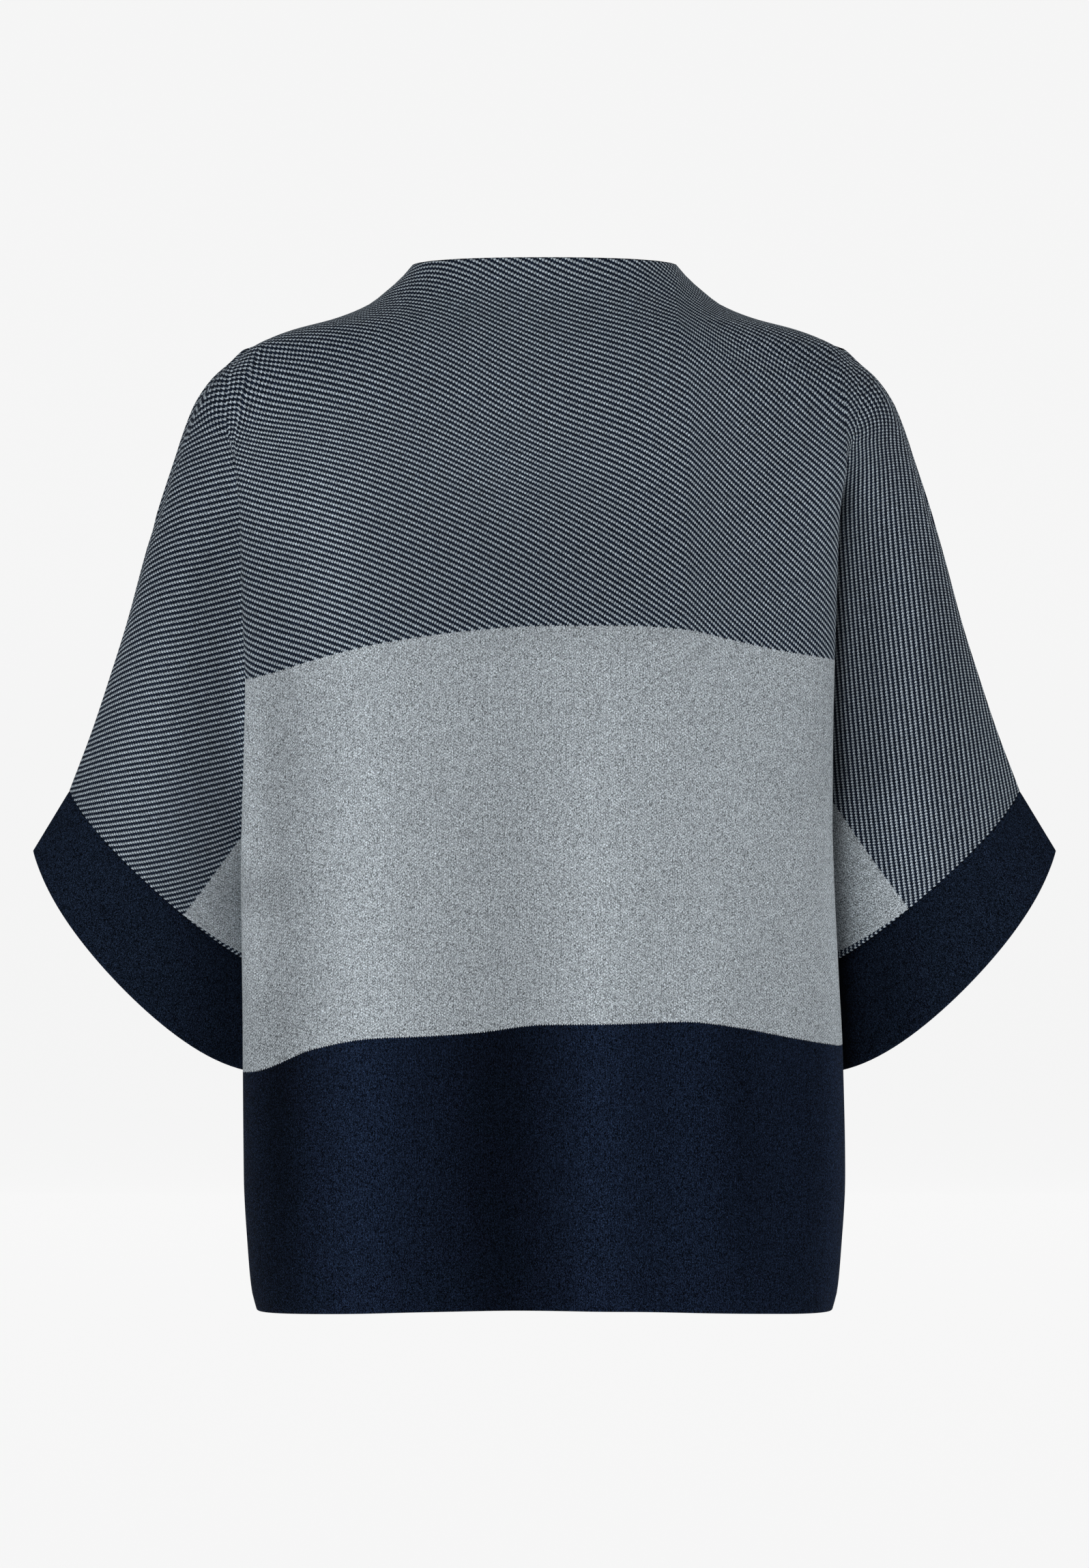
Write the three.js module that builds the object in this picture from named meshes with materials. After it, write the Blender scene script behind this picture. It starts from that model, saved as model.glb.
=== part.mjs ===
// Short-sleeve sweater in the hollow shape it has on a wearer: a loose funnel-neck pullover in
// fine knit. The back is knitted in one piece, body, neck and both sleeves together, and so is
// the front. A separate band closes each sleeve.
// Millimetres, +Z up. The back faces -Y and the wearer's right side is at +X. The origin is the
// middle of the shoulder line, at the foot of the neck.
import * as THREE from 'three';

// ---------------------------------------------------------------- driving sizes
const wall = 2;              // the knitted cloth is this thick
const seamGap = 0.3;         // left between two pieces where they are sewn together
const cornerReach = 2;       // a folded wall's corner stands out this many half walls at most
const neckHalfWidth = 76.5;
const neckTop = 32;
const frontNeckDip = 3;      // the front of the neck is this much lower
const armholeTop = 172;      // half width at which the sleeve leaves the shoulder line
const edgeTop = 160;         // half width at which the body's side fold meets the shoulder line
const cuffJoin = 279.5;        // half width at which the band joins the sleeve's outer edge
const underarmHeight = -288;
const hemHeight = -578;      // at the sides
const sleeveEdgeRoom = 4;    // the sleeve's rows keep this far inside the shoulder's outline
const roundness = 2.3;       // how square the body's rings are: 2 is an ellipse

// how the panels are divided
const neckColumns = 6;
const shoulderColumns = 7;
const flankColumns = 4;
const armholeRows = 13;
const bodyRows = 12;
const sleeveRows = 9;
const cuffRows = 3;
const rowCrowding = 1.6;     // rows lie closer together towards the shoulder

// how the cloth turns
const flankCurl = 1.6;       // the fold over the sleeve turns in faster towards the armhole
const loopPinch = 0.3;       // over 0, a sleeve's half loops close less sharply at their ends
const bellyFullness = 0.9;   // under 1, a half loop is fuller than a sine
const bowFullness = 0.75;
const foldFullness = 0.7;    // under 1, a soft fold comes and goes faster at its ends
const ringEnds = 50;         // this far down, body and sleeve begin to part
const foldBegins = 125;      // this far down, they have parted

// The line along the top: from the neck over the shoulder and down the sleeve's outer edge.
const shoulderLine = [
  { x: 76.5, z: 32 },
  { x: 83.5, z: 24 },
  { x: 92.5, z: 16 },
  { x: 103, z: 8 },
  { x: 122, z: 0 },
  { x: 151, z: -8 },
  { x: 171.5, z: -17 },
  { x: 182, z: -26 },
  { x: 191.5, z: -34 },
  { x: 202, z: -48 },
  { x: 209, z: -64 },
  { x: 214.5, z: -80 },
  { x: 225.5, z: -112 },
  { x: 235, z: -144 },
  { x: 244, z: -176 },
  { x: 254.5, z: -208 },
  { x: 265.5, z: -240 },
  { x: 279.5, z: -276 },
];

// How far the garment reaches behind and before the shoulder line, and how far forward the
// sleeve's outer edge lies.
const depths = [
  { z: 32, back: 60, front: 58, outerEdge: 0 },
  { z: 16, back: 64, front: 61, outerEdge: 0 },
  { z: 0, back: 73, front: 66, outerEdge: 0 },
  { z: -20, back: 86, front: 74, outerEdge: 0 },
  { z: -50, back: 100, front: 86, outerEdge: 1 },
  { z: -100, back: 113, front: 101, outerEdge: 4 },
  { z: -160, back: 119, front: 111, outerEdge: 10 },
  { z: -240, back: 122, front: 115, outerEdge: 19 },
  { z: -330, back: 121, front: 113, outerEdge: 28 },
  { z: -420, back: 120, front: 110, outerEdge: 30 },
  { z: -578, back: 121, front: 110, outerEdge: 30 },
];

// The body's side: left and right are the half widths of the fold in the back that lies over
// the sleeve. The armhole, and below the underarm the side seam, lies `tuck` inside that fold.
const flank = [
  { z: -10, left: 160, right: 160, tuck: -12 },
  { z: -30, left: 169, right: 168, tuck: -11 },
  { z: -55, left: 175, right: 173, tuck: -8 },
  { z: -80, left: 177, right: 173, tuck: -2 },
  { z: -120, left: 174, right: 168.5, tuck: 7 },
  { z: -170, left: 173, right: 167, tuck: 12 },
  { z: -210, left: 171.5, right: 166, tuck: 14 },
  { z: -250, left: 172.5, right: 165.5, tuck: 17 },
  { z: -290, left: 174, right: 165.5, tuck: 20 },
  { z: -330, left: 175, right: 167, tuck: 18 },
  { z: -380, left: 175, right: 170, tuck: 8 },
  { z: -430, left: 175, right: 173, tuck: 1 },
  { z: -500, left: 174.5, right: 174.5, tuck: 0 },
  { z: -545, left: 172, right: 172, tuck: 0 },
  { z: -566, left: 170, right: 170, tuck: 0 },
  { z: -578, left: 167, right: 167, tuck: 0 },
];

// Front to back places of the same lines. `seam` is the line between the two panels: below the
// underarm they are sewn together there, above it each armhole lies this far behind or before it.
const flankDepths = [
  { z: -10, seam: 0, backArmhole: 20, frontArmhole: 20, backFold: 40, frontFold: 40 },
  { z: -60, seam: 0, backArmhole: 66, frontArmhole: 60, backFold: 72, frontFold: 66 },
  { z: -80, seam: 1, backArmhole: 64, frontArmhole: 58, backFold: 75, frontFold: 68 },
  { z: -120, seam: 2, backArmhole: 54, frontArmhole: 55, backFold: 73, frontFold: 67 },
  { z: -160, seam: 4, backArmhole: 49, frontArmhole: 51, backFold: 68, frontFold: 65 },
  { z: -200, seam: 6, backArmhole: 47, frontArmhole: 46, backFold: 63, frontFold: 62 },
  { z: -240, seam: 8, backArmhole: 41, frontArmhole: 37, backFold: 57, frontFold: 56 },
  { z: -265, seam: 9, backArmhole: 31, frontArmhole: 26, backFold: 53, frontFold: 47 },
  { z: -280, seam: 10, backArmhole: 17, frontArmhole: 13, backFold: 51, frontFold: 36 },
  { z: -288, seam: 10, backArmhole: 0, frontArmhole: 0, backFold: 50, frontFold: 26 },
  { z: -340, seam: 8, backArmhole: 0, frontArmhole: 0, backFold: 38, frontFold: 22 },
  { z: -430, seam: 0, backArmhole: 0, frontArmhole: 0, backFold: 18, frontFold: 14 },
  { z: -578, seam: 0, backArmhole: 0, frontArmhole: 0, backFold: 14, frontFold: 14 },
];

// The underarm seam, from the armhole (along 0) to the cuff (along 1). It lies `inside` the fold.
const underarm = [
  { along: 0, inside: 20, y: 10, z: -288 },
  { along: 0.12, inside: 11, y: 14, z: -292 },
  { along: 0.3, inside: 7, y: 26, z: -308 },
  { along: 0.6, inside: 7, y: 44, z: -342 },
  { along: 1, inside: 12, y: 62, z: -384 },
];

// Half loops round the sleeve: how far each bows backward, forward, and down along the sleeve.
const sleeveLoops = [
  { along: 0, back: 50, front: 50, bow: 0 },
  { along: 0.4, back: 50, front: 48, bow: 2 },
  { along: 1, back: 40, front: 38, bow: 8 },
];

// The band's open end.
const cuffHem = {
  outer: { x: 302, y: 32, z: -312 },
  inner: { inside: 12, y: 74, z: -444 },
  back: 32,
  front: 30,
  bow: 22,
  bowLean: 1.2,              // over 1, the bow is deepest towards the underarm
};

// Soft folds that stand out (+) or lie in (-) the cloth, from their upper to their lower end.
const backFolds = [
  { topX: -150, topZ: -205, endX: -158, endZ: -500, halfWidth: 18, height: -4 },
  { topX: -108, topZ: -200, endX: -110, endZ: -620, halfWidth: 24, height: 3.5 },
  { topX: -38, topZ: -180, endX: -19, endZ: -640, halfWidth: 28, height: -3.5 },
  { topX: 27, topZ: -240, endX: 32, endZ: -640, halfWidth: 22, height: 3 },
  { topX: 70, topZ: -260, endX: 60, endZ: -560, halfWidth: 16, height: -2 },
  { topX: 114, topZ: -200, endX: 90, endZ: -620, halfWidth: 24, height: 3.5 },
  { topX: -192, topZ: -110, endX: -203, endZ: -320, halfWidth: 14, height: -3 },
  { topX: 222, topZ: -120, endX: 230, endZ: -300, halfWidth: 12, height: -3 },
];
const frontFolds = [
  { topX: -120, topZ: -170, endX: -128, endZ: -620, halfWidth: 24, height: 3.5 },
  { topX: -62, topZ: -210, endX: -52, endZ: -600, halfWidth: 26, height: -3.5 },
  { topX: 8, topZ: -230, endX: 14, endZ: -640, halfWidth: 24, height: 3 },
  { topX: 66, topZ: -200, endX: 60, endZ: -560, halfWidth: 22, height: -3 },
  { topX: 118, topZ: -180, endX: 112, endZ: -620, halfWidth: 24, height: 3.5 },
];
const hemRise = { back: 8, front: 6 };     // the hem is this much higher in the middle

// ---------------------------------------------------------------- reading the tables
// A smooth line through a table's rows: `column` where `key` has this value.
function read(table, key, value, column) {
  const rising = table[0][key] < table[table.length - 1][key];
  const rows = rising ? table : [...table].reverse();
  const last = rows.length - 1;
  if (value <= rows[0][key]) return rows[0][column];
  if (value >= rows[last][key]) return rows[last][column];
  let i = 0;
  while (rows[i + 1][key] < value) i += 1;
  const step = (a) => (rows[a + 1][column] - rows[a][column]) / (rows[a + 1][key] - rows[a][key]);
  const slope = (a) => {
    if (a === 0) return step(0);
    if (a === last) return step(last - 1);
    const before = step(a - 1);
    const after = step(a);
    return before * after <= 0 ? 0 : (2 * before * after) / (before + after);
  };
  const width = rows[i + 1][key] - rows[i][key];
  const t = (value - rows[i][key]) / width;
  const rest = 1 - t;
  return rows[i][column] * (1 + 2 * t) * rest * rest
    + rows[i + 1][column] * (1 + 2 * rest) * t * t
    + width * t * rest * (slope(i) * rest - slope(i + 1) * t);
}

const mix = THREE.MathUtils.lerp;
const shoulderHeight = (x) => read(shoulderLine, 'x', Math.abs(x), 'z');

// The outline's half width at a height: the shoulder line read the other way round.
function outlineHalfWidth(z) {
  let low = neckHalfWidth;
  let high = cuffJoin;
  for (let i = 0; i < 40; i += 1) {
    const middle = (low + high) / 2;
    if (shoulderHeight(middle) > z) low = middle;
    else high = middle;
  }
  return (low + high) / 2;
}

// How far the fold over the sleeve lies from the middle, on the side that x is on.
const foldHalfWidth = (side, z) => read(flank, 'z', z, side < 0 ? 'left' : 'right');

// ---------------------------------------------------------------- the cloth's middle surface
// panel is { name: 'back' or 'front', facing: -1 or 1 }; side is -1 at the wearer's left, 1 right.

// Above, body and sleeves are one smooth ring round neck and shoulders.
function ringDepth(panel, x, z) {
  const share = Math.min(1, Math.abs(x) / outlineHalfWidth(z));
  const depth = read(depths, 'z', z, panel.name);
  return read(depths, 'z', z, 'outerEdge') + panel.facing * depth * Math.sqrt(1 - share ** roundness);
}

// 0 where the ring holds, 1 where body and sleeve have parted.
const parted = (z) => THREE.MathUtils.smoothstep(-z, ringEnds, foldBegins);

function foldHeight(folds, x, z) {
  let sum = 0;
  for (const fold of folds) {
    const t = (z - fold.topZ) / (fold.endZ - fold.topZ);
    if (t <= 0 || t >= 1) continue;
    const across = (x - mix(fold.topX, fold.endX, t)) / fold.halfWidth;
    sum += fold.height * Math.sin(Math.PI * t) ** foldFullness * Math.exp(-across * across);
  }
  return sum;
}

function bodyPoint(panel, column, row) {
  const { side, share, curl } = column;
  const topX = share < 1 ? edgeTop * share : mix(edgeTop, armholeTop, curl);
  const dip = panel.name === 'front' ? frontNeckDip : 0;
  const neckShare = Math.min(1, topX / neckHalfWidth);
  const top = topX < neckHalfWidth ? neckTop - dip * (1 - neckShare ** 2) : shoulderHeight(topX);
  const rise = hemRise[panel.name] * (1 - share ** 2);
  const z = mix(top, hemHeight + rise, row);
  const tuck = read(flank, 'z', z, 'tuck');
  const armholeX = foldHalfWidth(side, z) - tuck;
  const foldX = panel.name === 'back' ? armholeX + tuck : armholeX + Math.min(tuck, 0);
  const x = foldX * share + (armholeX - foldX) * curl ** flankCurl;
  if (row === 0 && topX >= neckHalfWidth - 1e-6) return new THREE.Vector3(side * x, 0, z);
  const foldY = read(flankDepths, 'z', z, `${panel.name}Fold`);
  const seamY = read(flankDepths, 'z', z, 'seam');
  const armholeY = panel.facing * seamY + read(flankDepths, 'z', z, `${panel.name}Armhole`);
  const middleY = read(depths, 'z', z, panel.name);
  const main = foldY + (middleY - foldY) * Math.sqrt(1 - share ** roundness);
  const bodyY = panel.facing * mix(main, armholeY, curl);
  const y = mix(ringDepth(panel, x, z), bodyY, parted(z));
  const relief = (1 - curl) * foldHeight(panel.folds, side * x, z);
  return new THREE.Vector3(side * x, y + panel.facing * relief, z);
}

// The two ends of a half loop round the sleeve, 0 at the armhole, 1 at the cuff, 2 at its hem.
function loopEnds(side, along) {
  const seat = Math.min(along, 1);
  const outerX = mix(armholeTop, cuffJoin, seat);
  const outerZ = shoulderHeight(outerX);
  const outer = new THREE.Vector3(outerX, read(depths, 'z', outerZ, 'outerEdge'), outerZ);
  const innerZ = read(underarm, 'along', seat, 'z');
  const inside = read(underarm, 'along', seat, 'inside');
  const innerX = foldHalfWidth(side, innerZ) - inside;
  const inner = new THREE.Vector3(innerX, read(underarm, 'along', seat, 'y'), innerZ);
  if (along > 1) {
    const hem = cuffHem.inner;
    const hemInner = new THREE.Vector3(foldHalfWidth(side, hem.z) - hem.inside, hem.y, hem.z);
    outer.lerp(new THREE.Vector3(cuffHem.outer.x, cuffHem.outer.y, cuffHem.outer.z), along - 1);
    inner.lerp(hemInner, along - 1);
  }
  return { outer, inner };
}

// A point of a half loop, round = 0 at the outer edge and 1 at the underarm seam.
function loopPoint(panel, side, along, round) {
  const { outer, inner } = loopEnds(side, along);
  const seat = Math.min(along, 1);
  let belly = read(sleeveLoops, 'along', seat, panel.name);
  let bow = read(sleeveLoops, 'along', seat, 'bow');
  const bowLean = mix(1, cuffHem.bowLean, along - seat);
  if (along > 1) {
    belly = mix(belly, cuffHem[panel.name], along - 1);
    bow = mix(bow, cuffHem.bow, along - 1);
  }
  const spread = round - loopPinch * Math.sin(2 * Math.PI * round) / (2 * Math.PI);
  const swell = Math.max(0, Math.sin(Math.PI * round)) ** bellyFullness;
  const chord = new THREE.Vector3().subVectors(inner, outer);
  const down = new THREE.Vector3(-chord.z, 0, chord.x).normalize();
  const point = outer.clone().addScaledVector(chord, spread);
  point.y += panel.facing * belly * swell;
  const bowSwell = Math.max(0, Math.sin(Math.PI * round ** bowLean)) ** bowFullness;
  return point.addScaledVector(down, -panel.facing * bow * bowSwell);
}

function sleevePoint(panel, side, along, round, armholePoint) {
  const start = loopPoint(panel, side, 0, round);
  const crease = armholePoint.clone();
  crease.x = Math.abs(crease.x);
  const point = loopPoint(panel, side, along, round);
  point.addScaledVector(crease.sub(start), (1 - along) ** 2);
  if (round > 0 && round < 1) {
    const edgeRoom = sleeveEdgeRoom * Math.min(1, 20 * round);
    if (parted(point.z) < 1) point.x = Math.min(point.x, outlineHalfWidth(point.z) - edgeRoom);
    const ringY = ringDepth(panel, point.x, point.z);
    point.y = mix(ringY, point.y, Math.max(parted(point.z), along > 0.999 ? 1 : 0));
    point.y += panel.facing * foldHeight(panel.folds, side * point.x, point.z) * Math.sin(Math.PI * round);
  }
  point.x *= side;
  return point;
}

// ---------------------------------------------------------------- sheets of cloth
// A sheet is { points, faces }: its middle surface, with faces turning outward.
// A four-sided patch is split along its shorter diagonal.
function addQuad(sheet, a, b, c, d, flip) {
  const corners = flip ? [a, d, c, b] : [a, b, c, d];
  const places = corners.map((index) => sheet.points[index]);
  if (places[0].distanceTo(places[2]) > places[1].distanceTo(places[3])) corners.push(corners.shift());
  sheet.faces.push([corners[0], corners[1], corners[2]], [corners[0], corners[2], corners[3]]);
}

function bodyColumns() {
  const half = [];
  const neckEdge = Math.asin(neckHalfWidth / edgeTop);
  for (let i = 1; i <= neckColumns; i += 1) {
    half.push({ share: (neckHalfWidth / edgeTop) * Math.sin((Math.PI / 2) * (i / neckColumns)), curl: 0 });
  }
  for (let i = 1; i <= shoulderColumns; i += 1) {
    half.push({ share: Math.sin(mix(neckEdge, Math.PI / 2, i / shoulderColumns)), curl: 0 });
  }
  for (let i = 1; i <= flankColumns; i += 1) half.push({ share: 1, curl: i / flankColumns });
  const left = [...half].reverse().map((column) => ({ ...column, side: -1 }));
  const right = half.map((column) => ({ ...column, side: 1 }));
  return [...left, { share: 0, curl: 0, side: 1 }, ...right];
}

function bodyRowShares() {
  const armholeShare = (underarmHeight - shoulderHeight(armholeTop)) / (hemHeight - shoulderHeight(armholeTop));
  const rows = [];
  for (let i = 0; i <= armholeRows; i += 1) rows.push(armholeShare * (i / armholeRows) ** rowCrowding);
  for (let i = 1; i <= bodyRows; i += 1) rows.push(mix(armholeShare, 1, i / bodyRows));
  return rows;
}

function makePanel(panel) {
  const sheet = { points: [], faces: [] };
  const add = (point) => sheet.points.push(point) - 1;
  const columns = bodyColumns();
  const isFront = panel.facing > 0;
  const body = bodyRowShares().map((row) => columns.map((column) => add(bodyPoint(panel, column, row))));
  for (let i = 0; i + 1 < body.length; i += 1) {
    for (let j = 0; j + 1 < columns.length; j += 1) {
      addQuad(sheet, body[i][j], body[i + 1][j], body[i + 1][j + 1], body[i][j + 1], isFront);
    }
  }
  for (const side of [-1, 1]) {
    const borderColumn = side < 0 ? 0 : columns.length - 1;
    let previous = body.slice(0, armholeRows + 1).map((row) => row[borderColumn]);
    const armhole = previous.map((index) => sheet.points[index]);
    for (let k = 1; k <= sleeveRows; k += 1) {
      const next = armhole.map((point, m) => {
        const round = (m / armholeRows) ** rowCrowding;
        return add(sleevePoint(panel, side, k / sleeveRows, round, point));
      });
      for (let m = 0; m < armholeRows; m += 1) {
        const flip = isFront !== side < 0;
        addQuad(sheet, previous[m], previous[m + 1], next[m + 1], next[m], flip);
      }
      previous = next;
    }
  }
  return sheet;
}

function makeCuff(panels, side) {
  const sheet = { points: [], faces: [] };
  const around = 2 * armholeRows;
  const loops = [];
  for (let k = 0; k <= cuffRows; k += 1) {
    const loop = [];
    for (let m = 0; m < around; m += 1) {
      const panel = m <= armholeRows ? panels[0] : panels[1];
      const step = m <= armholeRows ? m : around - m;
      const point = loopPoint(panel, side, 1 + k / cuffRows, (step / armholeRows) ** rowCrowding);
      if (k === 0 && step > 0 && step < armholeRows) {
        const relief = foldHeight(panel.folds, side * point.x, point.z);
        point.y += panel.facing * relief * Math.sin(Math.PI * (step / armholeRows) ** rowCrowding);
      }
      point.x *= side;
      loop.push(sheet.points.push(point) - 1);
    }
    loops.push(loop);
  }
  for (let k = 0; k < cuffRows; k += 1) {
    for (let m = 0; m < around; m += 1) {
      const n = (m + 1) % around;
      addQuad(sheet, loops[k][m], loops[k][n], loops[k + 1][n], loops[k + 1][m], side < 0);
    }
  }
  return sheet;
}

// ---------------------------------------------------------------- from sheet to solid wall
const placeKey = (point) => point.toArray().map((n) => Math.round(n * 1e3)).join(' ');

function faceNormal(sheet, face) {
  const [a, b, c] = face.map((index) => sheet.points[index]);
  return new THREE.Vector3().crossVectors(b.clone().sub(a), c.clone().sub(a)).normalize();
}

function cornerAngle(sheet, face, corner) {
  const here = sheet.points[face[corner]];
  const next = sheet.points[face[(corner + 1) % 3]].clone().sub(here);
  return next.angleTo(sheet.points[face[(corner + 2) % 3]].clone().sub(here));
}

function findBorder(sheet) {
  const edges = new Map();
  for (const face of sheet.faces) {
    for (let i = 0; i < 3; i += 1) edges.set(`${face[i]} ${face[(i + 1) % 3]}`, [face[i], face[(i + 1) % 3]]);
  }
  return [...edges.values()].filter(([a, b]) => !edges.has(`${b} ${a}`));
}

function measureSheet(sheet) {
  sheet.flats = sheet.faces.map((face) => faceNormal(sheet, face));
  sheet.normals = sheet.points.map(() => new THREE.Vector3());
  sheet.faces.forEach((face, f) => face.forEach((index, corner) => {
    sheet.normals[index].addScaledVector(sheet.flats[f], cornerAngle(sheet, face, corner));
  }));
  sheet.normals.forEach((normal) => normal.normalize());
  sheet.border = findBorder(sheet);
}

// A wall keeps its thickness through a fold by standing out further at the fold's own points.
function measureReach(sheet) {
  const steepest = sheet.points.map(() => 1);
  sheet.faces.forEach((face, f) => {
    for (const index of face) {
      steepest[index] = Math.min(steepest[index], sheet.flats[f].dot(sheet.normals[index]));
    }
  });
  sheet.reach = steepest.map((cosine) => Math.min(cornerReach, 1 / Math.max(cosine, 1e-3)));
}

// The border points that two or more pieces share.
function findMeetings(sheets) {
  const places = new Map();
  for (const sheet of sheets) {
    for (const index of new Set(sheet.border.flat())) {
      const key = placeKey(sheet.points[index]);
      if (!places.has(key)) places.set(key, []);
      places.get(key).push({ sheet, index });
    }
  }
  return [...places.values()].filter((group) => group.length > 1);
}

// Where pieces are sewn together they share one direction through the wall, so that their edges
// lie face to face, each half the seam's gap from the line.
function joinSeams(sheets) {
  const meetings = findMeetings(sheets);
  for (const sheet of sheets) sheet.sewn = new Set();
  for (const group of meetings) {
    const shared = new THREE.Vector3();
    for (const { sheet, index } of group) shared.add(sheet.normals[index]);
    shared.normalize();
    for (const { sheet, index } of group) {
      sheet.normals[index].copy(shared);
      sheet.sewn.add(index);
    }
  }
  sheets.forEach(measureReach);
  for (const group of meetings) {
    const furthest = Math.max(...group.map(({ sheet, index }) => sheet.reach[index]));
    for (const { sheet, index } of group) sheet.reach[index] = furthest;
  }
}

function seamShifts(sheet) {
  const inward = new Map();
  for (const [a, b] of sheet.border) {
    if (!sheet.sewn.has(a) || !sheet.sewn.has(b)) continue;
    const along = new THREE.Vector3().subVectors(sheet.points[b], sheet.points[a]);
    for (const index of [a, b]) {
      const direction = new THREE.Vector3().crossVectors(sheet.normals[index], along).normalize();
      if (!inward.has(index)) inward.set(index, []);
      inward.get(index).push(direction);
    }
  }
  const shifts = new Map();
  for (const [index, directions] of inward) {
    const [first, second = first] = directions;
    const shift = first.clone().add(second).divideScalar(1 + Math.max(first.dot(second), -0.5));
    shifts.set(index, shift.multiplyScalar(seamGap / 2));
  }
  return shifts;
}

// Both faces of the wall, and the narrow strip round every border. Two pieces that meet split
// their strips along the same diagonals, from the outer face at the higher point.
function thicken(sheet) {
  const shifts = seamShifts(sheet);
  const positions = [];
  for (const out of [1, -1]) {
    sheet.points.forEach((point, index) => {
      const place = point.clone().addScaledVector(sheet.normals[index], (out * sheet.reach[index] * wall) / 2);
      if (shifts.has(index)) place.add(shifts.get(index));
      positions.push(...place.toArray());
    });
  }
  const count = sheet.points.length;
  const faces = sheet.faces.flat();
  for (const [a, b, c] of sheet.faces) faces.push(count + a, count + c, count + b);
  for (const [a, b] of sheet.border) {
    const higher = sheet.points[a].z > sheet.points[b].z;
    if (higher) faces.push(b, a, count + b, a, count + a, count + b);
    else faces.push(b, a, count + a, b, count + a, count + b);
  }
  const geometry = new THREE.BufferGeometry();
  geometry.setAttribute('position', new THREE.Float32BufferAttribute(positions, 3));
  geometry.setIndex(faces);
  geometry.computeVertexNormals();
  return geometry;
}

// ---------------------------------------------------------------- the garment
const panels = [
  { name: 'back', facing: -1, folds: backFolds },
  { name: 'front', facing: 1, folds: frontFolds },
];
const heatherGrey = new THREE.MeshStandardMaterial({ color: '#8f979d', roughness: 0.9, metalness: 0 });
const navy = new THREE.MeshStandardMaterial({ color: '#141b28', roughness: 0.9, metalness: 0 });
const pieces = [
  { name: 'back', sheet: makePanel(panels[0]), material: heatherGrey },
  { name: 'front', sheet: makePanel(panels[1]), material: heatherGrey.clone() },
  { name: 'cuff_left', sheet: makeCuff(panels, -1), material: navy },
  { name: 'cuff_right', sheet: makeCuff(panels, 1), material: navy.clone() },
];
const sheets = pieces.map((piece) => piece.sheet);
sheets.forEach(measureSheet);
joinSeams(sheets);

const sweater = new THREE.Group();
for (const { name, sheet, material } of pieces) {
  const mesh = new THREE.Mesh(thicken(sheet), material);
  mesh.name = name;
  sweater.add(mesh);
}

export default sweater;
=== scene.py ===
# %% [markdown]
# # A short-sleeve sweater in fine knit
#
# A loose pullover with a funnel neck and wide elbow-length sleeves. The back, with its half of
# the neck and of both sleeves, is knitted in one piece, and so is the front. A band of plain
# knitting closes each sleeve. Everything is in metres, +Z up. The back faces -Y, and the origin
# is the middle of the shoulder line, at the foot of the neck.
#
# Each cell makes one thing and prints what it made. Text cells say what the thing is on the real
# garment, how it could be made, and why this way was chosen.

import math

import bpy
import numpy as np
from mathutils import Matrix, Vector


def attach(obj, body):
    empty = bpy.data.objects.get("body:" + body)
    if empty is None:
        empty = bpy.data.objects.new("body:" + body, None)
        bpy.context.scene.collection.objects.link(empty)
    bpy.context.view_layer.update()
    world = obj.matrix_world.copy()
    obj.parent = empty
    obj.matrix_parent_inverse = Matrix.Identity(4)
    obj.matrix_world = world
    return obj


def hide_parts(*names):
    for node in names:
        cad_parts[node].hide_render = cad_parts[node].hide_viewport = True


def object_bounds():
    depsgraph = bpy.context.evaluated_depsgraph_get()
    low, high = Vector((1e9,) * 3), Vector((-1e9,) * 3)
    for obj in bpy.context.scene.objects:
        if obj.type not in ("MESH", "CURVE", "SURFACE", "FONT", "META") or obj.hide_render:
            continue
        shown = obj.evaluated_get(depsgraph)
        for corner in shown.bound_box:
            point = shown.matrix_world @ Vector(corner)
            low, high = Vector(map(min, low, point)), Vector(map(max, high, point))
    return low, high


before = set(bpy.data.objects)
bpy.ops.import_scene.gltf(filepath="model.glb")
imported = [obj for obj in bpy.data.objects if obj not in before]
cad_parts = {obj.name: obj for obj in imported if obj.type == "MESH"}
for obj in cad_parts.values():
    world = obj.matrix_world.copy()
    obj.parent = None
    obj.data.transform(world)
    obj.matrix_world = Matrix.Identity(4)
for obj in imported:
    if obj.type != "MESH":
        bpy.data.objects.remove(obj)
cad_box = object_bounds()
sizes = np.array([list(corner) for corner in cad_box])
print("solids:", sorted(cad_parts))
print("their box, mm:", np.round(sizes * 1000).tolist())

# %% [markdown]
# ## The sweater's sizes
#
# The cloth could be draped by simulation, but a filled-out garment has a known form: the same
# rings and loops that the solids were made from. Reading them again, with many more points, keeps
# each piece on its solid and leaves smooth surfaces. The tables are in millimetres because that is
# how a maker measures cloth. `MM` turns them into metres at the end.

# %% Driving sizes
MM = 0.001
NECK_HALF_WIDTH = 76.5
NECK_TOP = 32
FRONT_NECK_DIP = 3
ARMHOLE_TOP = 172          # half width where the sleeve leaves the shoulder line
EDGE_TOP = 160             # half width where the side fold meets the shoulder line
CUFF_JOIN = 279.5          # half width where the band joins the sleeve's outer edge
UNDERARM_HEIGHT = -288
HEM_HEIGHT = -578
SLEEVE_EDGE_ROOM = 4       # how far inside the outline a sleeve's other points stay
ROUNDNESS = 2.3            # 2 would make the body's rings ellipses
ROW_CROWDING = 1.6         # rows lie closer together towards the shoulder
FLANK_CURL = 1.6           # how late a flank turns in from its fold to the armhole
LOOP_PINCH = 0.3           # a sleeve's points lie closer together at its two edges
BELLY_FULLNESS = 0.9       # below 1, a curve is fuller than a sine
BOW_FULLNESS = 0.75
FOLD_FULLNESS = 0.7
RING_ENDS = 50             # this far down, body and sleeve begin to part
FOLD_BEGINS = 125          # this far down, they have parted
HEM_RISE = {"back": 8, "front": 6}      # how much higher the hem is in the middle
WALL = 1.9                 # the knitted cloth's thickness


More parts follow.
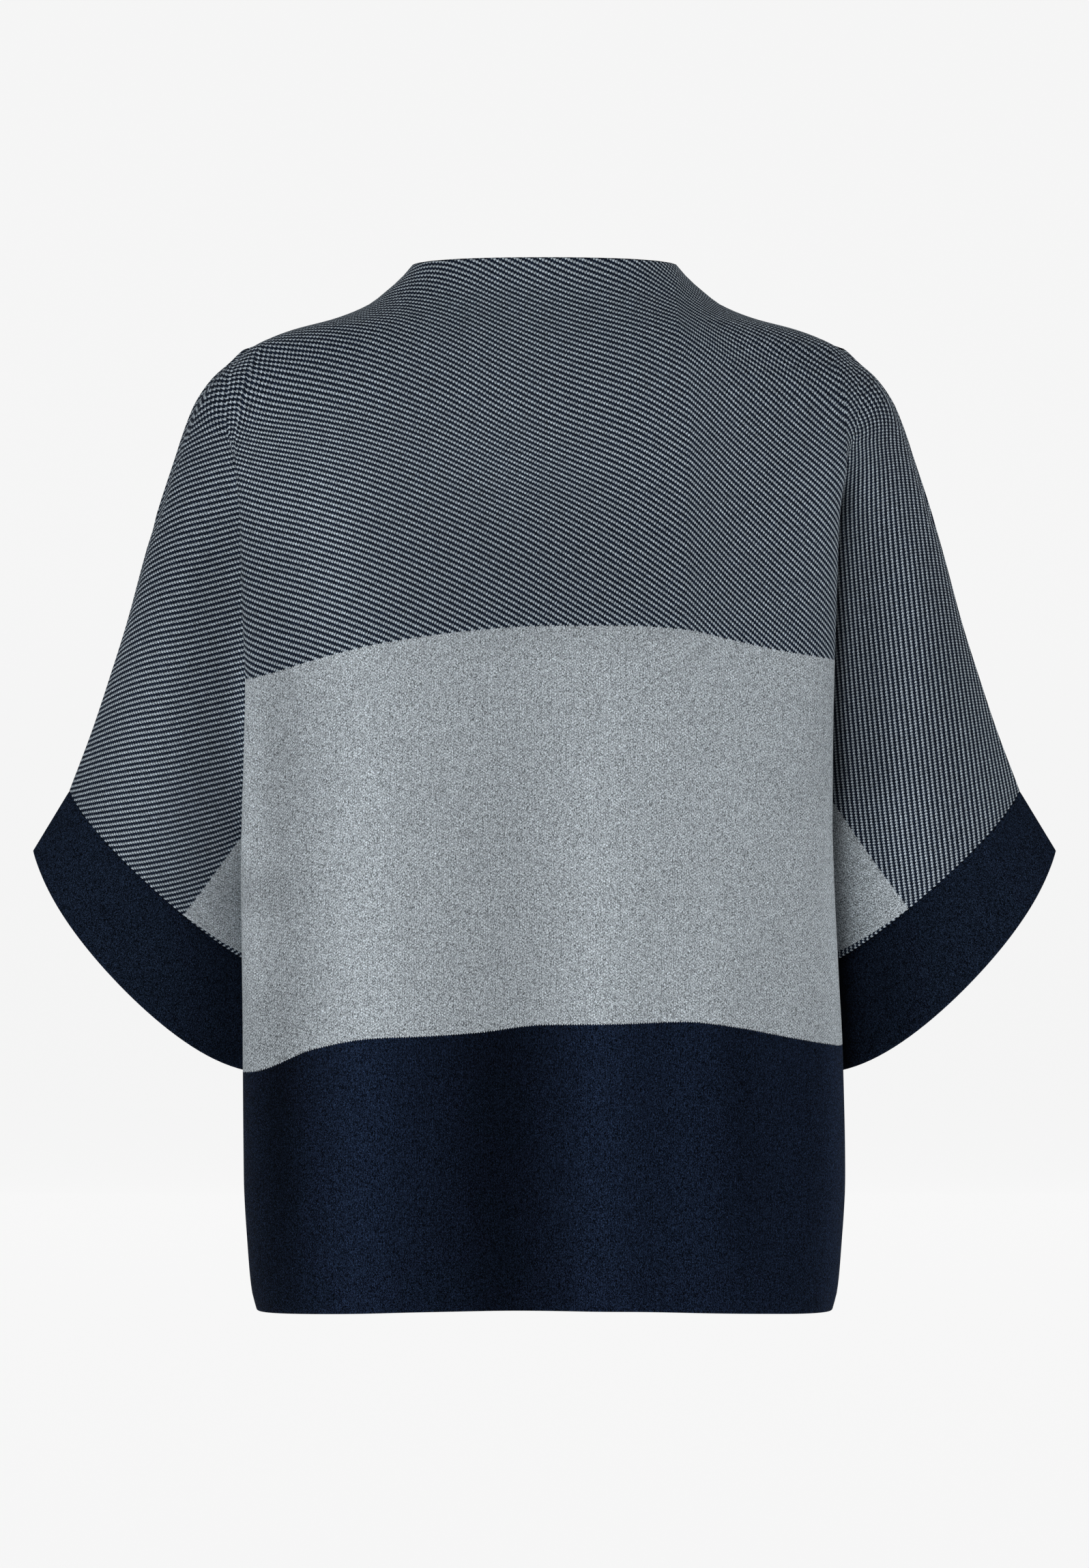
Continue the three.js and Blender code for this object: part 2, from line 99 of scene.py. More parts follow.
def table(names, *rows):
    """A table with named columns, one row for each height or place."""
    return {name: np.array([row[i] for row in rows], float) for i, name in enumerate(names.split())}


print("neck, mm:", 2 * NECK_HALF_WIDTH, " hem height, mm:", HEM_HEIGHT, " wall, mm:", WALL)

# %% Tables of the outline and the depths
shoulder_line = table(
    "x z",
    (76.5, 32), (83.5, 24), (92.5, 16), (103, 8), (122, 0), (151, -8), (171.5, -17), (182, -26),
    (191.5, -34), (202, -48), (209, -64), (214.5, -80), (225.5, -112), (235, -144), (244, -176),
    (254.5, -208), (265.5, -240), (279.5, -276),
)
depths = table(
    "z back front outer_edge",
    (32, 60, 58, 0), (16, 64, 61, 0), (0, 73, 66, 0), (-20, 86, 74, 0), (-50, 100, 86, 1),
    (-100, 113, 101, 4), (-160, 119, 111, 10), (-240, 122, 115, 19), (-330, 121, 113, 28),
    (-420, 120, 110, 30), (-578, 121, 110, 30),
)
flank = table(
    "z left right tuck",
    (-10, 160, 160, -12), (-30, 169, 168, -11), (-55, 175, 173, -8), (-80, 177, 173, -2),
    (-120, 174, 168.5, 7), (-170, 173, 167, 12), (-210, 171.5, 166, 14), (-250, 172.5, 165.5, 17),
    (-290, 174, 165.5, 20), (-330, 175, 167, 18), (-380, 175, 170, 8), (-430, 175, 173, 1),
    (-500, 174.5, 174.5, 0), (-545, 172, 172, 0), (-566, 170, 170, 0), (-578, 167, 167, 0),
)
flank_depths = table(
    "z seam back_armhole front_armhole back_fold front_fold",
    (-10, 0, 20, 20, 40, 40), (-60, 0, 66, 60, 72, 66), (-80, 1, 64, 58, 75, 68),
    (-120, 2, 54, 55, 73, 67), (-160, 4, 49, 51, 68, 65), (-200, 6, 47, 46, 63, 62),
    (-240, 8, 41, 37, 57, 56), (-265, 9, 31, 26, 53, 47), (-280, 10, 17, 13, 51, 36),
    (-288, 10, 0, 0, 50, 26), (-340, 8, 0, 0, 38, 22), (-430, 0, 0, 0, 18, 14),
    (-578, 0, 0, 0, 14, 14),
)
print("deepest ring, mm:", depths["back"].max() + depths["front"].max())

# %% Tables of the sleeves and bands
underarm = table(
    "along inside y z",
    (0, 20, 10, -288), (0.12, 11, 14, -292), (0.3, 7, 26, -308), (0.6, 7, 44, -342),
    (1, 12, 62, -384),
)
sleeve_loops = table("along back front bow", (0, 50, 50, 0), (0.4, 50, 48, 2), (1, 40, 38, 8))
BAND_END = {
    "outer": (302, 32, -312), "inside": 12, "inner_y": 74, "inner_z": -444,
    "back": 32, "front": 30, "bow": 22, "bow_lean": 1.2,
}
print("a band's open end, mm:", BAND_END["outer"][2] - BAND_END["inner_z"])

# %% [markdown]
# ## Soft folds
#
# A knit this fine hangs in broad, low folds. They could come from a cloth simulation, but then
# they would land anywhere. Each is listed instead: a line from its upper to its lower end,
# a half width, and how far it stands out (+) or lies in (-). The first tables are also in the
# solids, and the finer ones are only here.

# %% Fold tables
FOLD_COLUMNS = "top_x top_z end_x end_z half_width height"
folds = {
    "back": table(
        FOLD_COLUMNS,
        (-150, -205, -158, -500, 18, -4), (-108, -200, -110, -620, 24, 3.5),
        (-38, -180, -19, -640, 28, -3.5), (27, -240, 32, -640, 22, 3),
        (70, -260, 60, -560, 16, -2), (114, -200, 90, -620, 24, 3.5),
        (-192, -110, -203, -320, 14, -3), (222, -120, 230, -300, 12, -3),
    ),
    "front": table(
        FOLD_COLUMNS,
        (-120, -170, -128, -620, 24, 3.5), (-62, -210, -52, -600, 26, -3.5),
        (8, -230, 14, -640, 24, 3), (66, -200, 60, -560, 22, -3), (118, -180, 112, -620, 24, 3.5),
    ),
}
fine_folds = {
    "back": table(
        FOLD_COLUMNS,
        (-146, -150, -150, -620, 14, -1.6), (-104, -140, -104, -660, 20, 1.8),
        (-30, -170, -24, -660, 26, -1.6), (32, -230, 32, -660, 18, 1.6),
        (5, -250, 2, -430, 10, 0.5), (138, -330, 130, -600, 12, -1.0),
        (-60, -30, -92, -190, 16, 1.0), (58, -40, 84, -200, 16, 0.8),
    ),
    "front": table(
        FOLD_COLUMNS,
        (-92, -260, -88, -600, 10, -0.9), (40, -300, 38, -610, 10, 0.8),
        (92, -330, 90, -600, 11, -0.9), (-20, -60, -30, -230, 18, -0.9),
    ),
}

print("folds of the back:", len(folds["back"]["height"]), "large,",
      len(fine_folds["back"]["height"]), "fine")

# %% [markdown]
# ## Light and dark along the folds
#
# Low, broad folds show mostly as paler crests and darker troughs. Their relief under soft light
# gives only part of that. Deeper folds would show more, but they would push the cloth out of its
# shape, and harder lamps would change everything else. So part of this light and dark is painted
# into the cloth's colour, fold by fold: painted highlight on the crests and painted shade in the
# troughs. The price is that it stays where it is when the lamps move.
#
# The table has the folds' form. Its last column is now the tone: about 1 for a crest, -1 for a
# trough, and more where a real shadow or highlight has to be helped.

# %% Where the painted shading is light or dark
painted_shading = {
    "back": table(
        FOLD_COLUMNS,
        (-150, -120, -152, -640, 15, -1.05), (-104, -130, -106, -700, 22, 1.05),
        (-28, -170, -24, -760, 30, -0.95), (32, -190, 33, -700, 20, 0.85),
        (84, -330, 82, -700, 22, 0.4), (106, -360, 114, -560, 12, -0.4),
        (162, -200, 162, -560, 9, -0.5), (-134, -60, -118, -210, 18, 0.6),
        (-118, -40, -124, -220, 28, 0.9),
        (-196, -120, -203, -330, 18, -0.5), (-236, -150, -240, -330, 26, 1.0),
        (188, -110, 192, -340, 14, -0.9), (209, -130, 214, -340, 9, 0.3),
        (229, -130, 240, -330, 16, -1.0),
        (-176, -290, -186, -400, 30, 1.2), (198, -270, 198, -400, 32, 3.0),
        (168, -190, 168, -640, 10, 1.6), (160, -40, 163, -200, 14, 0.9),
        (10, -95, 10, -200, 140, -0.9), (-166, 0, -170, -140, 24, 1.1),
        (-174, -185, -173, -320, 9, 2.2), (-165, -318, -165, -350, 22, -1.2),
    ),
    "front": table(
        FOLD_COLUMNS,
        (-122, -140, -128, -700, 22, 0.9), (-60, -180, -52, -700, 26, -0.9),
        (10, -200, 14, -700, 22, 0.8), (66, -190, 60, -700, 22, -0.8),
        (116, -170, 112, -700, 22, 0.9),
    ),
}
print("tones placed:", {name: len(rows["height"]) for name, rows in painted_shading.items()})

# %% [markdown]
# ## Reading the tables
#
# Straight lines between a table's rows would leave creases round the body. A monotone cubic runs
# smoothly through every row and never swings past one.

# %% Smooth reading
def read(rows, key, value, column):
    """The value of `column` where `key` has this value, on a smooth line through the rows."""
    order = np.argsort(rows[key])
    at, known = rows[key][order], rows[column][order]
    step = np.diff(known) / np.diff(at)
    total = step[:-1] + step[1:]
    same_way = step[:-1] * step[1:] > 0
    slope = np.concatenate([
        step[:1],
        np.where(same_way, 2 * step[:-1] * step[1:] / np.where(same_way, total, 1), 0),
        step[-1:],
    ])
    place = np.clip(value, at[0], at[-1])
    i = np.clip(np.searchsorted(at, place, side="right") - 1, 0, len(at) - 2)
    width = at[i + 1] - at[i]
    t = (place - at[i]) / width
    rest = 1 - t
    return (
        known[i] * (1 + 2 * t) * rest**2
        + known[i + 1] * (1 + 2 * rest) * t**2
        + width * t * rest * (slope[i] * rest - slope[i + 1] * t)
    )


def mix(a, b, share):
    """a, b, or what lies this share of the way between them."""
    return a + (b - a) * share


def smooth(value, low, high):
    """0 below low, 1 above high, and a soft change between them."""
    t = np.clip((value - low) / (high - low), 0, 1)
    return t * t * (3 - 2 * t)


def shoulder_height(x):
    return read(shoulder_line, "x", np.abs(x), "z")


LINE_POINTS = 4001
line_x = np.linspace(NECK_HALF_WIDTH, CUFF_JOIN, LINE_POINTS)
line_z = shoulder_height(line_x)


def outline_half_width(z):
    """The outline's half width at a height: the shoulder line read the other way round."""
    return np.interp(z, line_z[::-1], line_x[::-1])


print("half width of the outline at -100 mm:", round(float(outline_half_width(-100)), 1), "mm")


# %% [markdown]
# ## The cloth's middle surface
#
# The body could be one tube and each sleeve another, pushed through it, but then a joint would show
# where a grown-on sleeve has none. So high up, body and sleeves are one smooth ring round neck and
# shoulders. Further down they part: the body gets a side fold that lies over the sleeve, and the
# armhole is tucked in behind it. One function gives a point of the body, another a point of the
# sleeve, and both share the armhole.

# %% Rings and folds
def fold_half_width(side, z):
    return read(flank, "z", z, "left" if side < 0 else "right")


def ring_depth(name, x, z):
    facing = -1 if name == "back" else 1
    share = np.minimum(1, np.abs(x) / outline_half_width(z))
    depth = read(depths, "z", z, name)
    return read(depths, "z", z, "outer_edge") + facing * depth * np.sqrt(1 - share**ROUNDNESS)


def parted(z):
    return smooth(-z, RING_ENDS, FOLD_BEGINS)


def sum_of_folds(rows, x, z):
    total = np.zeros(np.broadcast(x, z).shape)
    for top_x, top_z, end_x, end_z, half_width, height in zip(*rows.values()):
        t = np.clip((z - top_z) / (end_z - top_z), 0, 1)
        across = (x - mix(top_x, end_x, t)) / half_width
        total += height * np.sin(np.pi * t) ** FOLD_FULLNESS * np.exp(-across * across)
    return total


def fold_height(name, x, z):
    return sum_of_folds(folds[name], x, z) + sum_of_folds(fine_folds[name], x, z)


print("y of the back's middle at -200 mm:", round(float(ring_depth("back", 0, -200))), "mm")


# %% The body
def body_points(name, side, share, curl, row):
    """Points of one half of a panel's body: row 0 is the shoulder line, row 1 the hem."""
    facing = -1 if name == "back" else 1
    top_x = np.where(share < 1, EDGE_TOP * share, mix(EDGE_TOP, ARMHOLE_TOP, curl))
    dip = FRONT_NECK_DIP if name == "front" else 0
    neck_share = np.minimum(1, top_x / NECK_HALF_WIDTH)
    neck_z = NECK_TOP - dip * (1 - neck_share**2)
    top = np.where(top_x < NECK_HALF_WIDTH, neck_z, shoulder_height(top_x))
    z = mix(top, HEM_HEIGHT + HEM_RISE[name] * (1 - share**2), row)
    tuck = read(flank, "z", z, "tuck")
    armhole_x = fold_half_width(side, z) - tuck
    fold_x = armhole_x + (tuck if name == "back" else np.minimum(tuck, 0))
    x = fold_x * share + (armhole_x - fold_x) * curl**FLANK_CURL
    fold_y = read(flank_depths, "z", z, name + "_fold")
    seam_y = read(flank_depths, "z", z, "seam")
    armhole_y = facing * seam_y + read(flank_depths, "z", z, name + "_armhole")
    middle_y = read(depths, "z", z, name)
    main = fold_y + (middle_y - fold_y) * np.sqrt(1 - share**ROUNDNESS)
    body_y = facing * mix(main, armhole_y, curl)
    y = mix(ring_depth(name, x, z), body_y, parted(z))
    y = y + facing * (1 - curl) * fold_height(name, side * x, z)
    on_top = (row == 0) & (top_x >= NECK_HALF_WIDTH - 1e-6)
    return np.stack([side * x, np.where(on_top, 0, y), z], -1)


hem_middle = body_points("back", 1, np.zeros(1), np.zeros(1), np.ones(1))[0]
print("middle of the back's hem, mm:", np.round(hem_middle, 1).tolist())


# %% Loops round a sleeve
def loop_points(name, side, along, round_it):
    """Points of half loops round a sleeve: along is 0 at the armhole, 1 at the band's seam and 2 at
    its open end, and round_it is 0 at the outer edge and 1 at the underarm."""
    facing = -1 if name == "back" else 1
    seat, past = np.minimum(along, 1), np.maximum(along - 1, 0)
    outer_x = mix(ARMHOLE_TOP, CUFF_JOIN, seat)
    outer_z = shoulder_height(outer_x)
    outer = np.stack([outer_x, read(depths, "z", outer_z, "outer_edge"), outer_z], -1)
    inner_z = read(underarm, "along", seat, "z")
    inner_x = fold_half_width(side, inner_z) - read(underarm, "along", seat, "inside")
    inner = np.stack([inner_x, read(underarm, "along", seat, "y"), inner_z], -1)
    end_z = BAND_END["inner_z"]
    end_x = float(fold_half_width(side, end_z)) - BAND_END["inside"]
    outer = mix(outer, np.array(BAND_END["outer"], float), past[..., None])
    inner = mix(inner, np.array([end_x, BAND_END["inner_y"], end_z]), past[..., None])
    belly = mix(read(sleeve_loops, "along", seat, name), BAND_END[name], past)
    bow = mix(read(sleeve_loops, "along", seat, "bow"), BAND_END["bow"], past)
    bow_lean = mix(1, BAND_END["bow_lean"], past)
    spread = round_it - LOOP_PINCH * np.sin(2 * np.pi * round_it) / (2 * np.pi)
    swell = np.maximum(0, np.sin(np.pi * round_it)) ** BELLY_FULLNESS
    chord = inner - outer
    down = np.stack([-chord[..., 2], 0 * spread, chord[..., 0]], -1)
    down = down / np.linalg.norm(down, axis=-1, keepdims=True)
    points = outer + chord * spread[..., None]
    points[..., 1] += facing * belly * swell
    bow_swell = np.maximum(0, np.sin(np.pi * round_it**bow_lean)) ** BOW_FULLNESS
    return points - facing * (bow * bow_swell)[..., None] * down


# %% The sleeve
CREASE_DEPTH = {-1: 1.5, 1: 6.0}        # of the crease beside each side fold
CREASE_REACH = 4.0         # how far outside the side fold its crease is deepest
CREASE_TOP = (-80, -115)   # heights where it starts and where it has its full depth
CREASE_FOOT = (-345, -290)              # the same at its lower end
ROOM_GROWTH = 20           # the edge room is full this part of the way round a loop: 1 / 20
SEAM_ALONG = 0.999         # past this, a loop is the band's seam


def side_crease(side, out, z):
    """How deep the crease beside the body's side fold is, just outside it."""
    reach = smooth(z, *CREASE_TOP) * smooth(z, *CREASE_FOOT)
    near = np.maximum(out, 0) / CREASE_REACH
    return CREASE_DEPTH[side] * reach * near * np.exp(1 - near)


def sleeve_points(name, side, along, round_it, armhole):
    """Points of a sleeve that starts from the panel's own armhole."""
    facing = -1 if name == "back" else 1
    start = loop_points(name, side, 0 * along, round_it)
    crease = np.abs(armhole * [1, 0, 0]) + armhole * [0, 1, 1]
    points = loop_points(name, side, along, round_it)
    points = points + (crease - start) * ((1 - along) ** 2)[..., None]
    x, z = points[..., 0].copy(), points[..., 2]
    room = SLEEVE_EDGE_ROOM * np.minimum(1, ROOM_GROWTH * round_it)
    inside = (round_it > 0) & (round_it < 1)
    x = np.where(inside & (parted(z) < 1), np.minimum(x, outline_half_width(z) - room), x)
    away = np.maximum(parted(z), along > SEAM_ALONG)
    y = mix(ring_depth(name, x, z), points[..., 1], away)
    y = y + facing * fold_height(name, side * x, z) * np.sin(np.pi * round_it)
    crease_x = np.interp(-z, -armhole[..., 2].ravel(), np.abs(armhole[..., 0]).ravel())
    y = y - facing * side_crease(side, x - crease_x, z)
    y = np.where(inside, y, points[..., 1])
    return np.stack([side * x, y, z], -1)


seam_ends = loop_points("back", 1, np.ones(2), np.array([0.0, 1.0]))
print("ends of a band's seam, mm:", np.round(seam_ends, 1).tolist())

# %% [markdown]
# ## Cloth coordinates
#
# A knit's pattern belongs to the cloth, not to space: it bends over the shoulder and turns with
# the sleeve. Blender can unwrap a surface by itself, but it doesn't know which way the wales run.
# So every point gets its place on the flat cloth here, across (u) and along the wales (v). On the
# body that comes from distances along the rows and columns. The sleeves hang at an angle, so their
# cloth is turned by that angle. Round the place where a side fold begins, the one grain blends
# into the other, and further down the pattern breaks in the crease of the fold. The blend can't
# keep every stitch its size: some are drawn out along the top of the sleeves.
#
# The three zones are knitted in, so they are bands of v: twill pattern above, heather grey below
# it, navy last. The tables say where the two borders run on the hanging body.

# %% Where the zones change
TWILL_ENDS = -183          # on the flat cloth
GREY_ENDS = -408.5
borders = table(
    "x twill grey",
    (-174, -212.5, -440), (-164, -211, -438), (-130, -201.6, -423.5), (-98, -193.7, -417),
    (-66, -188.5, -415.5), (-36, -185, -413.3), (0, -183, -408.8), (45, -182.8, -408.3),
    (80, -185, -407.4), (104, -190.2, -410), (136, -196.8, -416.7), (170, -201.5, -424),
)
FAR = 1000                 # any length past the ends of the cloth
RIPPLE = 9                 # how far the rows of stitches sag beside the neck
RIPPLE_MIDDLE = -5
RIPPLE_HALF_WIDTH = 50
RIPPLE_HEIGHTS = (-135, -60)            # none below the first, all of it above the second


def along_rows(points, axis, share=1.0):
    """Distances along a grid's lines, from its first line."""
    steps = np.diff(points, axis=axis)
    steps = np.maximum(np.abs(steps[..., 0]), share * np.linalg.norm(steps, axis=-1))
    start = np.zeros_like(np.take(steps, [0], axis=axis))
    return np.cumsum(np.concatenate([start, steps], axis=axis), axis=axis)


def height_on_cloth(points):
    """v of the body: each column's length above, between and below the two borders."""
    length = along_rows(points, 0)
    v = np.empty(length.shape)
    for j in range(points.shape[1]):
        x, z, s = points[:, j, 0], points[:, j, 2], length[:, j]
        first = np.argmax(z < read(borders, "x", x, "twill"))
        last = np.argmax(z < read(borders, "x", x, "grey"))
        found = []
        for i, column in ((first, "twill"), (last, "grey")):
            gap = z - read(borders, "x", x, column)
            share = gap[i - 1] / (gap[i - 1] - gap[i])
            found.append(s[i - 1] + share * (s[i] - s[i - 1]))
        upper, lower = found
        known = [upper - FAR, upper, lower, lower + FAR]
        v[:, j] = np.interp(s, known, [TWILL_ENDS + FAR, TWILL_ENDS, GREY_ENDS, GREY_ENDS - FAR])
    return v


def shoulder_ripple(x, z):
    """The rows of stitches sag a little beside the neck."""
    across = (x - RIPPLE_MIDDLE) / RIPPLE_HALF_WIDTH
    return RIPPLE * np.exp(-(across**2)) * smooth(z, *RIPPLE_HEIGHTS)


print("grey zone on the flat cloth, mm:", TWILL_ENDS - GREY_ENDS)

# %% The sleeves' grain
SLEEVE_GRAIN = math.radians(50)
GRAIN_START = {-1: (57, -119.8), 1: (57, -133.7)}   # where each sleeve's flat cloth begins
SLEEVE_WALES = 1.08        # the wales draw together round the arm
FOLD_START = {-1: -70, 1: -75}          # the height where each side fold begins
TURN_FROM = math.radians(-95)           # the turn's reach round that place, from straight up
TURN_TO = math.radians(95)
SEAM_NUDGE = 1e-6          # keeps the armhole's points on their own side of the fold
MOST_STRETCH = 12          # more than this, a step from front to back isn't drawn out


def grain(side, x, z):
    """A sleeve's own flat coordinates, with x measured outward."""
    start_u, start_v = GRAIN_START[side]
    u = x * math.cos(SLEEVE_GRAIN) - z * math.sin(SLEEVE_GRAIN) + start_u
    v = x * math.sin(SLEEVE_GRAIN) + z * math.cos(SLEEVE_GRAIN) + start_v
    return u, v


def sleeve_grain(side, x, z, joint):
    """Sleeve coordinates that agree with the body's where the side fold begins."""
    joint_x, joint_z, joint_u, joint_v = joint
    u, v = grain(side, x, z)
    own_u, own_v = grain(side, joint_x, joint_z)
    courses = (joint_v - TWILL_ENDS) / (own_v - TWILL_ENDS)
    return joint_u + SLEEVE_WALES * (u - own_u), TWILL_ENDS + courses * (v - TWILL_ENDS)


def turned_share(points, joint, crease, of_sleeve):
    """0 in the body's grain to 1 in the sleeve's, round the place where the side fold begins."""
    crease_x = np.interp(-points[..., 2], -crease[:, 2], np.abs(crease[:, 0]))
    out = np.abs(points[..., 0]) - crease_x
    out = np.maximum(out, SEAM_NUDGE) if of_sleeve else np.minimum(out, -SEAM_NUDGE)
    return smooth(np.arctan2(out, points[..., 2] - joint[1]), TURN_FROM, TURN_TO)


def unrolled(points, start):
    """Places (x outward, z) of a sleeve's points when its loops are rolled out flat."""
    flat = np.stack([np.abs(points[..., 0]), points[..., 2]], -1)
    steps = np.diff(flat, axis=1)
    stretch = np.linalg.norm(np.diff(points, axis=1), axis=-1) / np.linalg.norm(steps, axis=-1)
    steps = steps * np.minimum(stretch, MOST_STRETCH)[..., None]
    rolled = np.concatenate([0 * flat[:, :1], np.cumsum(steps, 1)], 1)
    return rolled - rolled[:, start:start + 1] + flat[:, start:start + 1]


print("sleeve grain:", round(math.degrees(SLEEVE_GRAIN)), "degrees from the body's")

# %% [markdown]
# ## The panels
#
# A panel could be modelled by hand or subdivided from the solid. A grid worked out from the same
# functions gives even quads and a place for every point's cloth coordinates. The body is one grid
# from shoulder to hem, and each half sleeve is a grid that starts on the armhole.

# %% How finely the grids are divided
NECK_COLUMNS = 22
SHOULDER_COLUMNS = 28
FLANK_COLUMNS = 14
ARMHOLE_ROWS = 54
BODY_ROWS = 60
SLEEVE_ROWS = 40
LOOP_CROWDING = 1.35       # above 1, the first loops of a sleeve lie closer together


def column_places():
    """(share, curl) of one half's columns, from beside the middle to the armhole."""
    edge = math.asin(NECK_HALF_WIDTH / EDGE_TOP)
    neck = np.arange(1, NECK_COLUMNS + 1) / NECK_COLUMNS
    shoulder = np.arange(1, SHOULDER_COLUMNS + 1) / SHOULDER_COLUMNS
    bend = np.arange(1, FLANK_COLUMNS + 1) / FLANK_COLUMNS
    share = np.concatenate([
        NECK_HALF_WIDTH / EDGE_TOP * np.sin(np.pi / 2 * neck),
        np.sin(mix(edge, np.pi / 2, shoulder)),
        np.ones(FLANK_COLUMNS),
    ])
    share[-FLANK_COLUMNS - 1] = 1
    curl = np.concatenate([np.zeros(NECK_COLUMNS + SHOULDER_COLUMNS), bend])
    return share, curl


def round_places():
    """Places round a half loop, one for each row of the armhole."""
    return (np.arange(ARMHOLE_ROWS + 1) / ARMHOLE_ROWS) ** ROW_CROWDING


def row_places():
    """Places of the body's rows, 0 at the shoulder and 1 at the hem."""
    start = float(shoulder_height(ARMHOLE_TOP))
    armhole_share = (UNDERARM_HEIGHT - start) / (HEM_HEIGHT - start)
    upper = armhole_share * round_places()
    lower = mix(armhole_share, 1, np.arange(1, BODY_ROWS + 1) / BODY_ROWS)
    return np.concatenate([upper, lower])


print("columns a side:", len(column_places()[0]), " rows:", len(row_places()))

# %% The painted shading on a grid
# Painted shadow beside the right side fold and painted light beside the left one (below 0).
PAINTED_CREASE_SHADING = {-1: -1.6, 1: 6.0}        # how dark the dark line beside each side fold is
PAINTED_CREASE_WIDTH = 7.5
PAINTED_CREASE_START = 4.5        # low down, the line starts this far outside the fold
PAINTED_CREASE_SHIFT = (-140, -290)            # heights between which it moves out there
PAINTED_CREASE_TOP = (-75, -115)  # heights where the line starts and where it is full


def painted_crease_shading(side, points):
    """Painted shadow beside the right side fold, on top of the real crease there, and painted light
    beside the left one: a tone in the cloth's colour, set to look right from straight behind."""
    z = points[..., 2]
    edge = fold_half_width(side, z) + PAINTED_CREASE_START * smooth(z, *PAINTED_CREASE_SHIFT)
    beyond = np.maximum(np.abs(points[..., 0]) - edge, 0)
    return PAINTED_CREASE_SHADING[side] * np.exp(-((beyond / PAINTED_CREASE_WIDTH) ** 2)) * smooth(z, *PAINTED_CREASE_TOP)


def with_painted_shading(name, points, uv, painted_crease=0.0):
    """Adds the painted light and shade of the folds to the cloth coordinates, as a third number."""
    tone = sum_of_folds(painted_shading[name], points[..., 0], points[..., 2]) - painted_crease
    return np.concatenate([uv, tone[..., None]], -1)


# %% The body's grid
FLANK_WALES = {-1: 0.6, 1: 1.0}         # how closely the wales follow the way round a flank
# How much cloth there is for each millimetre across, by height.
wale_spread = table("z share", (40, 0.94), (-50, 0.96), (-100, 1.04), (-175, 1.10), (-700, 1.10))


def body_grid(name):
    """Points from the left armhole over the middle to the right one, row by row."""
    share, curl = column_places()
    rows = row_places()[:, None]
    halves = {
        side: body_points(name, side, share[None, :] + 0 * rows, curl[None, :] + 0 * rows,
                          rows + 0 * share[None, :])
        for side in (-1, 1)
    }
    middle = body_points(name, 1, np.zeros_like(rows), np.zeros_like(rows), rows)
    return np.concatenate([halves[-1][:, ::-1], middle, halves[1]], 1)


print("grid of the back, rows and columns:", body_grid("back").shape[:2])


def body_cloth(body):
    """The body's places (u, v) on the flat cloth."""
    centre = body.shape[1] // 2
    flank = np.where(np.arange(2 * centre) < centre, FLANK_WALES[-1], FLANK_WALES[1])
    across = along_rows(body, 1, flank)
    across = across - across[:, centre:centre + 1]
    across = across * read(wale_spread, "z", body[..., 2], "share")
    v = height_on_cloth(body) + shoulder_ripple(body[..., 0], body[..., 2])
    return np.stack([across, v], -1)


# %% A sleeve's place on the cloth
UNROLL_FROM = 34           # the armhole row that stays in place when a sleeve is rolled out
ARMHOLE_PULL = 30          # how far from the armhole the rolled-out cloth still feels it
CREASE_CROWD = {-1: 0, 1: 13}           # cloth drawn into the crease beside the side fold
CROWD_REACH = 20
SLEEVE_LENGTH = 448        # across the flat cloth, from the middle to the band's seam
CENTRE_FADE = (15, 130)    # half widths: no turned grain in the middle, all of it further out


def joint_place(side, armhole, edge_uv):
    """x, z, u and v where a side fold begins."""
    lines = (np.abs(armhole[:, 0]), armhole[:, 2], edge_uv[:, 0], edge_uv[:, 1])
    return [np.interp(-FOLD_START[side], -armhole[:, 2], line) for line in lines]


def sleeve_cloth(side, along, points, armhole, edge_uv, joint):
    """A half sleeve's places on the flat cloth: rolled out, and blended with the body's grain."""
    drop, depth = -armhole[:, 2], -points[..., 2]
    rolled = unrolled(points, UNROLL_FROM)
    crease_x = np.interp(depth, drop, np.abs(armhole[:, 0]))
    out = np.maximum(np.abs(points[..., 0]) - crease_x, 0)
    at_armhole = np.stack([np.abs(armhole[:, 0]), armhole[:, 2]], -1) - rolled[0]
    rolled = rolled + at_armhole * np.exp(-out / ARMHOLE_PULL)[..., None]
    rolled[..., 0] += CREASE_CROWD[side] * (1 - np.exp(-out / CROWD_REACH))
    u, v = sleeve_grain(side, rolled[..., 0], rolled[..., 1], joint)
    u = u + (SLEEVE_LENGTH - u[-1:]) * along**2
    turn = turned_share(points, joint, armhole, True)
    flat_u = np.interp(depth, drop, edge_uv[:, 0]) + np.abs(points[..., 0]) - crease_x
    flat_v = np.interp(depth, drop, edge_uv[:, 1]) + np.maximum(drop[0] - depth, 0)
    return np.stack([side * mix(flat_u, u, turn), mix(flat_v, v, turn)], -1)


def turned_body(side, half, uv, armhole, joint):
    """Half a body's places, blended into the sleeve's grain round the start of its side fold."""
    x_out = np.abs(half[..., 0])
    u, v = sleeve_grain(side, x_out, half[..., 2], joint)
    turn = turned_share(half, joint, armhole, False) * smooth(x_out, *CENTRE_FADE)
    return np.stack([mix(uv[..., 0], side * u, turn), mix(uv[..., 1], v, turn)], -1)


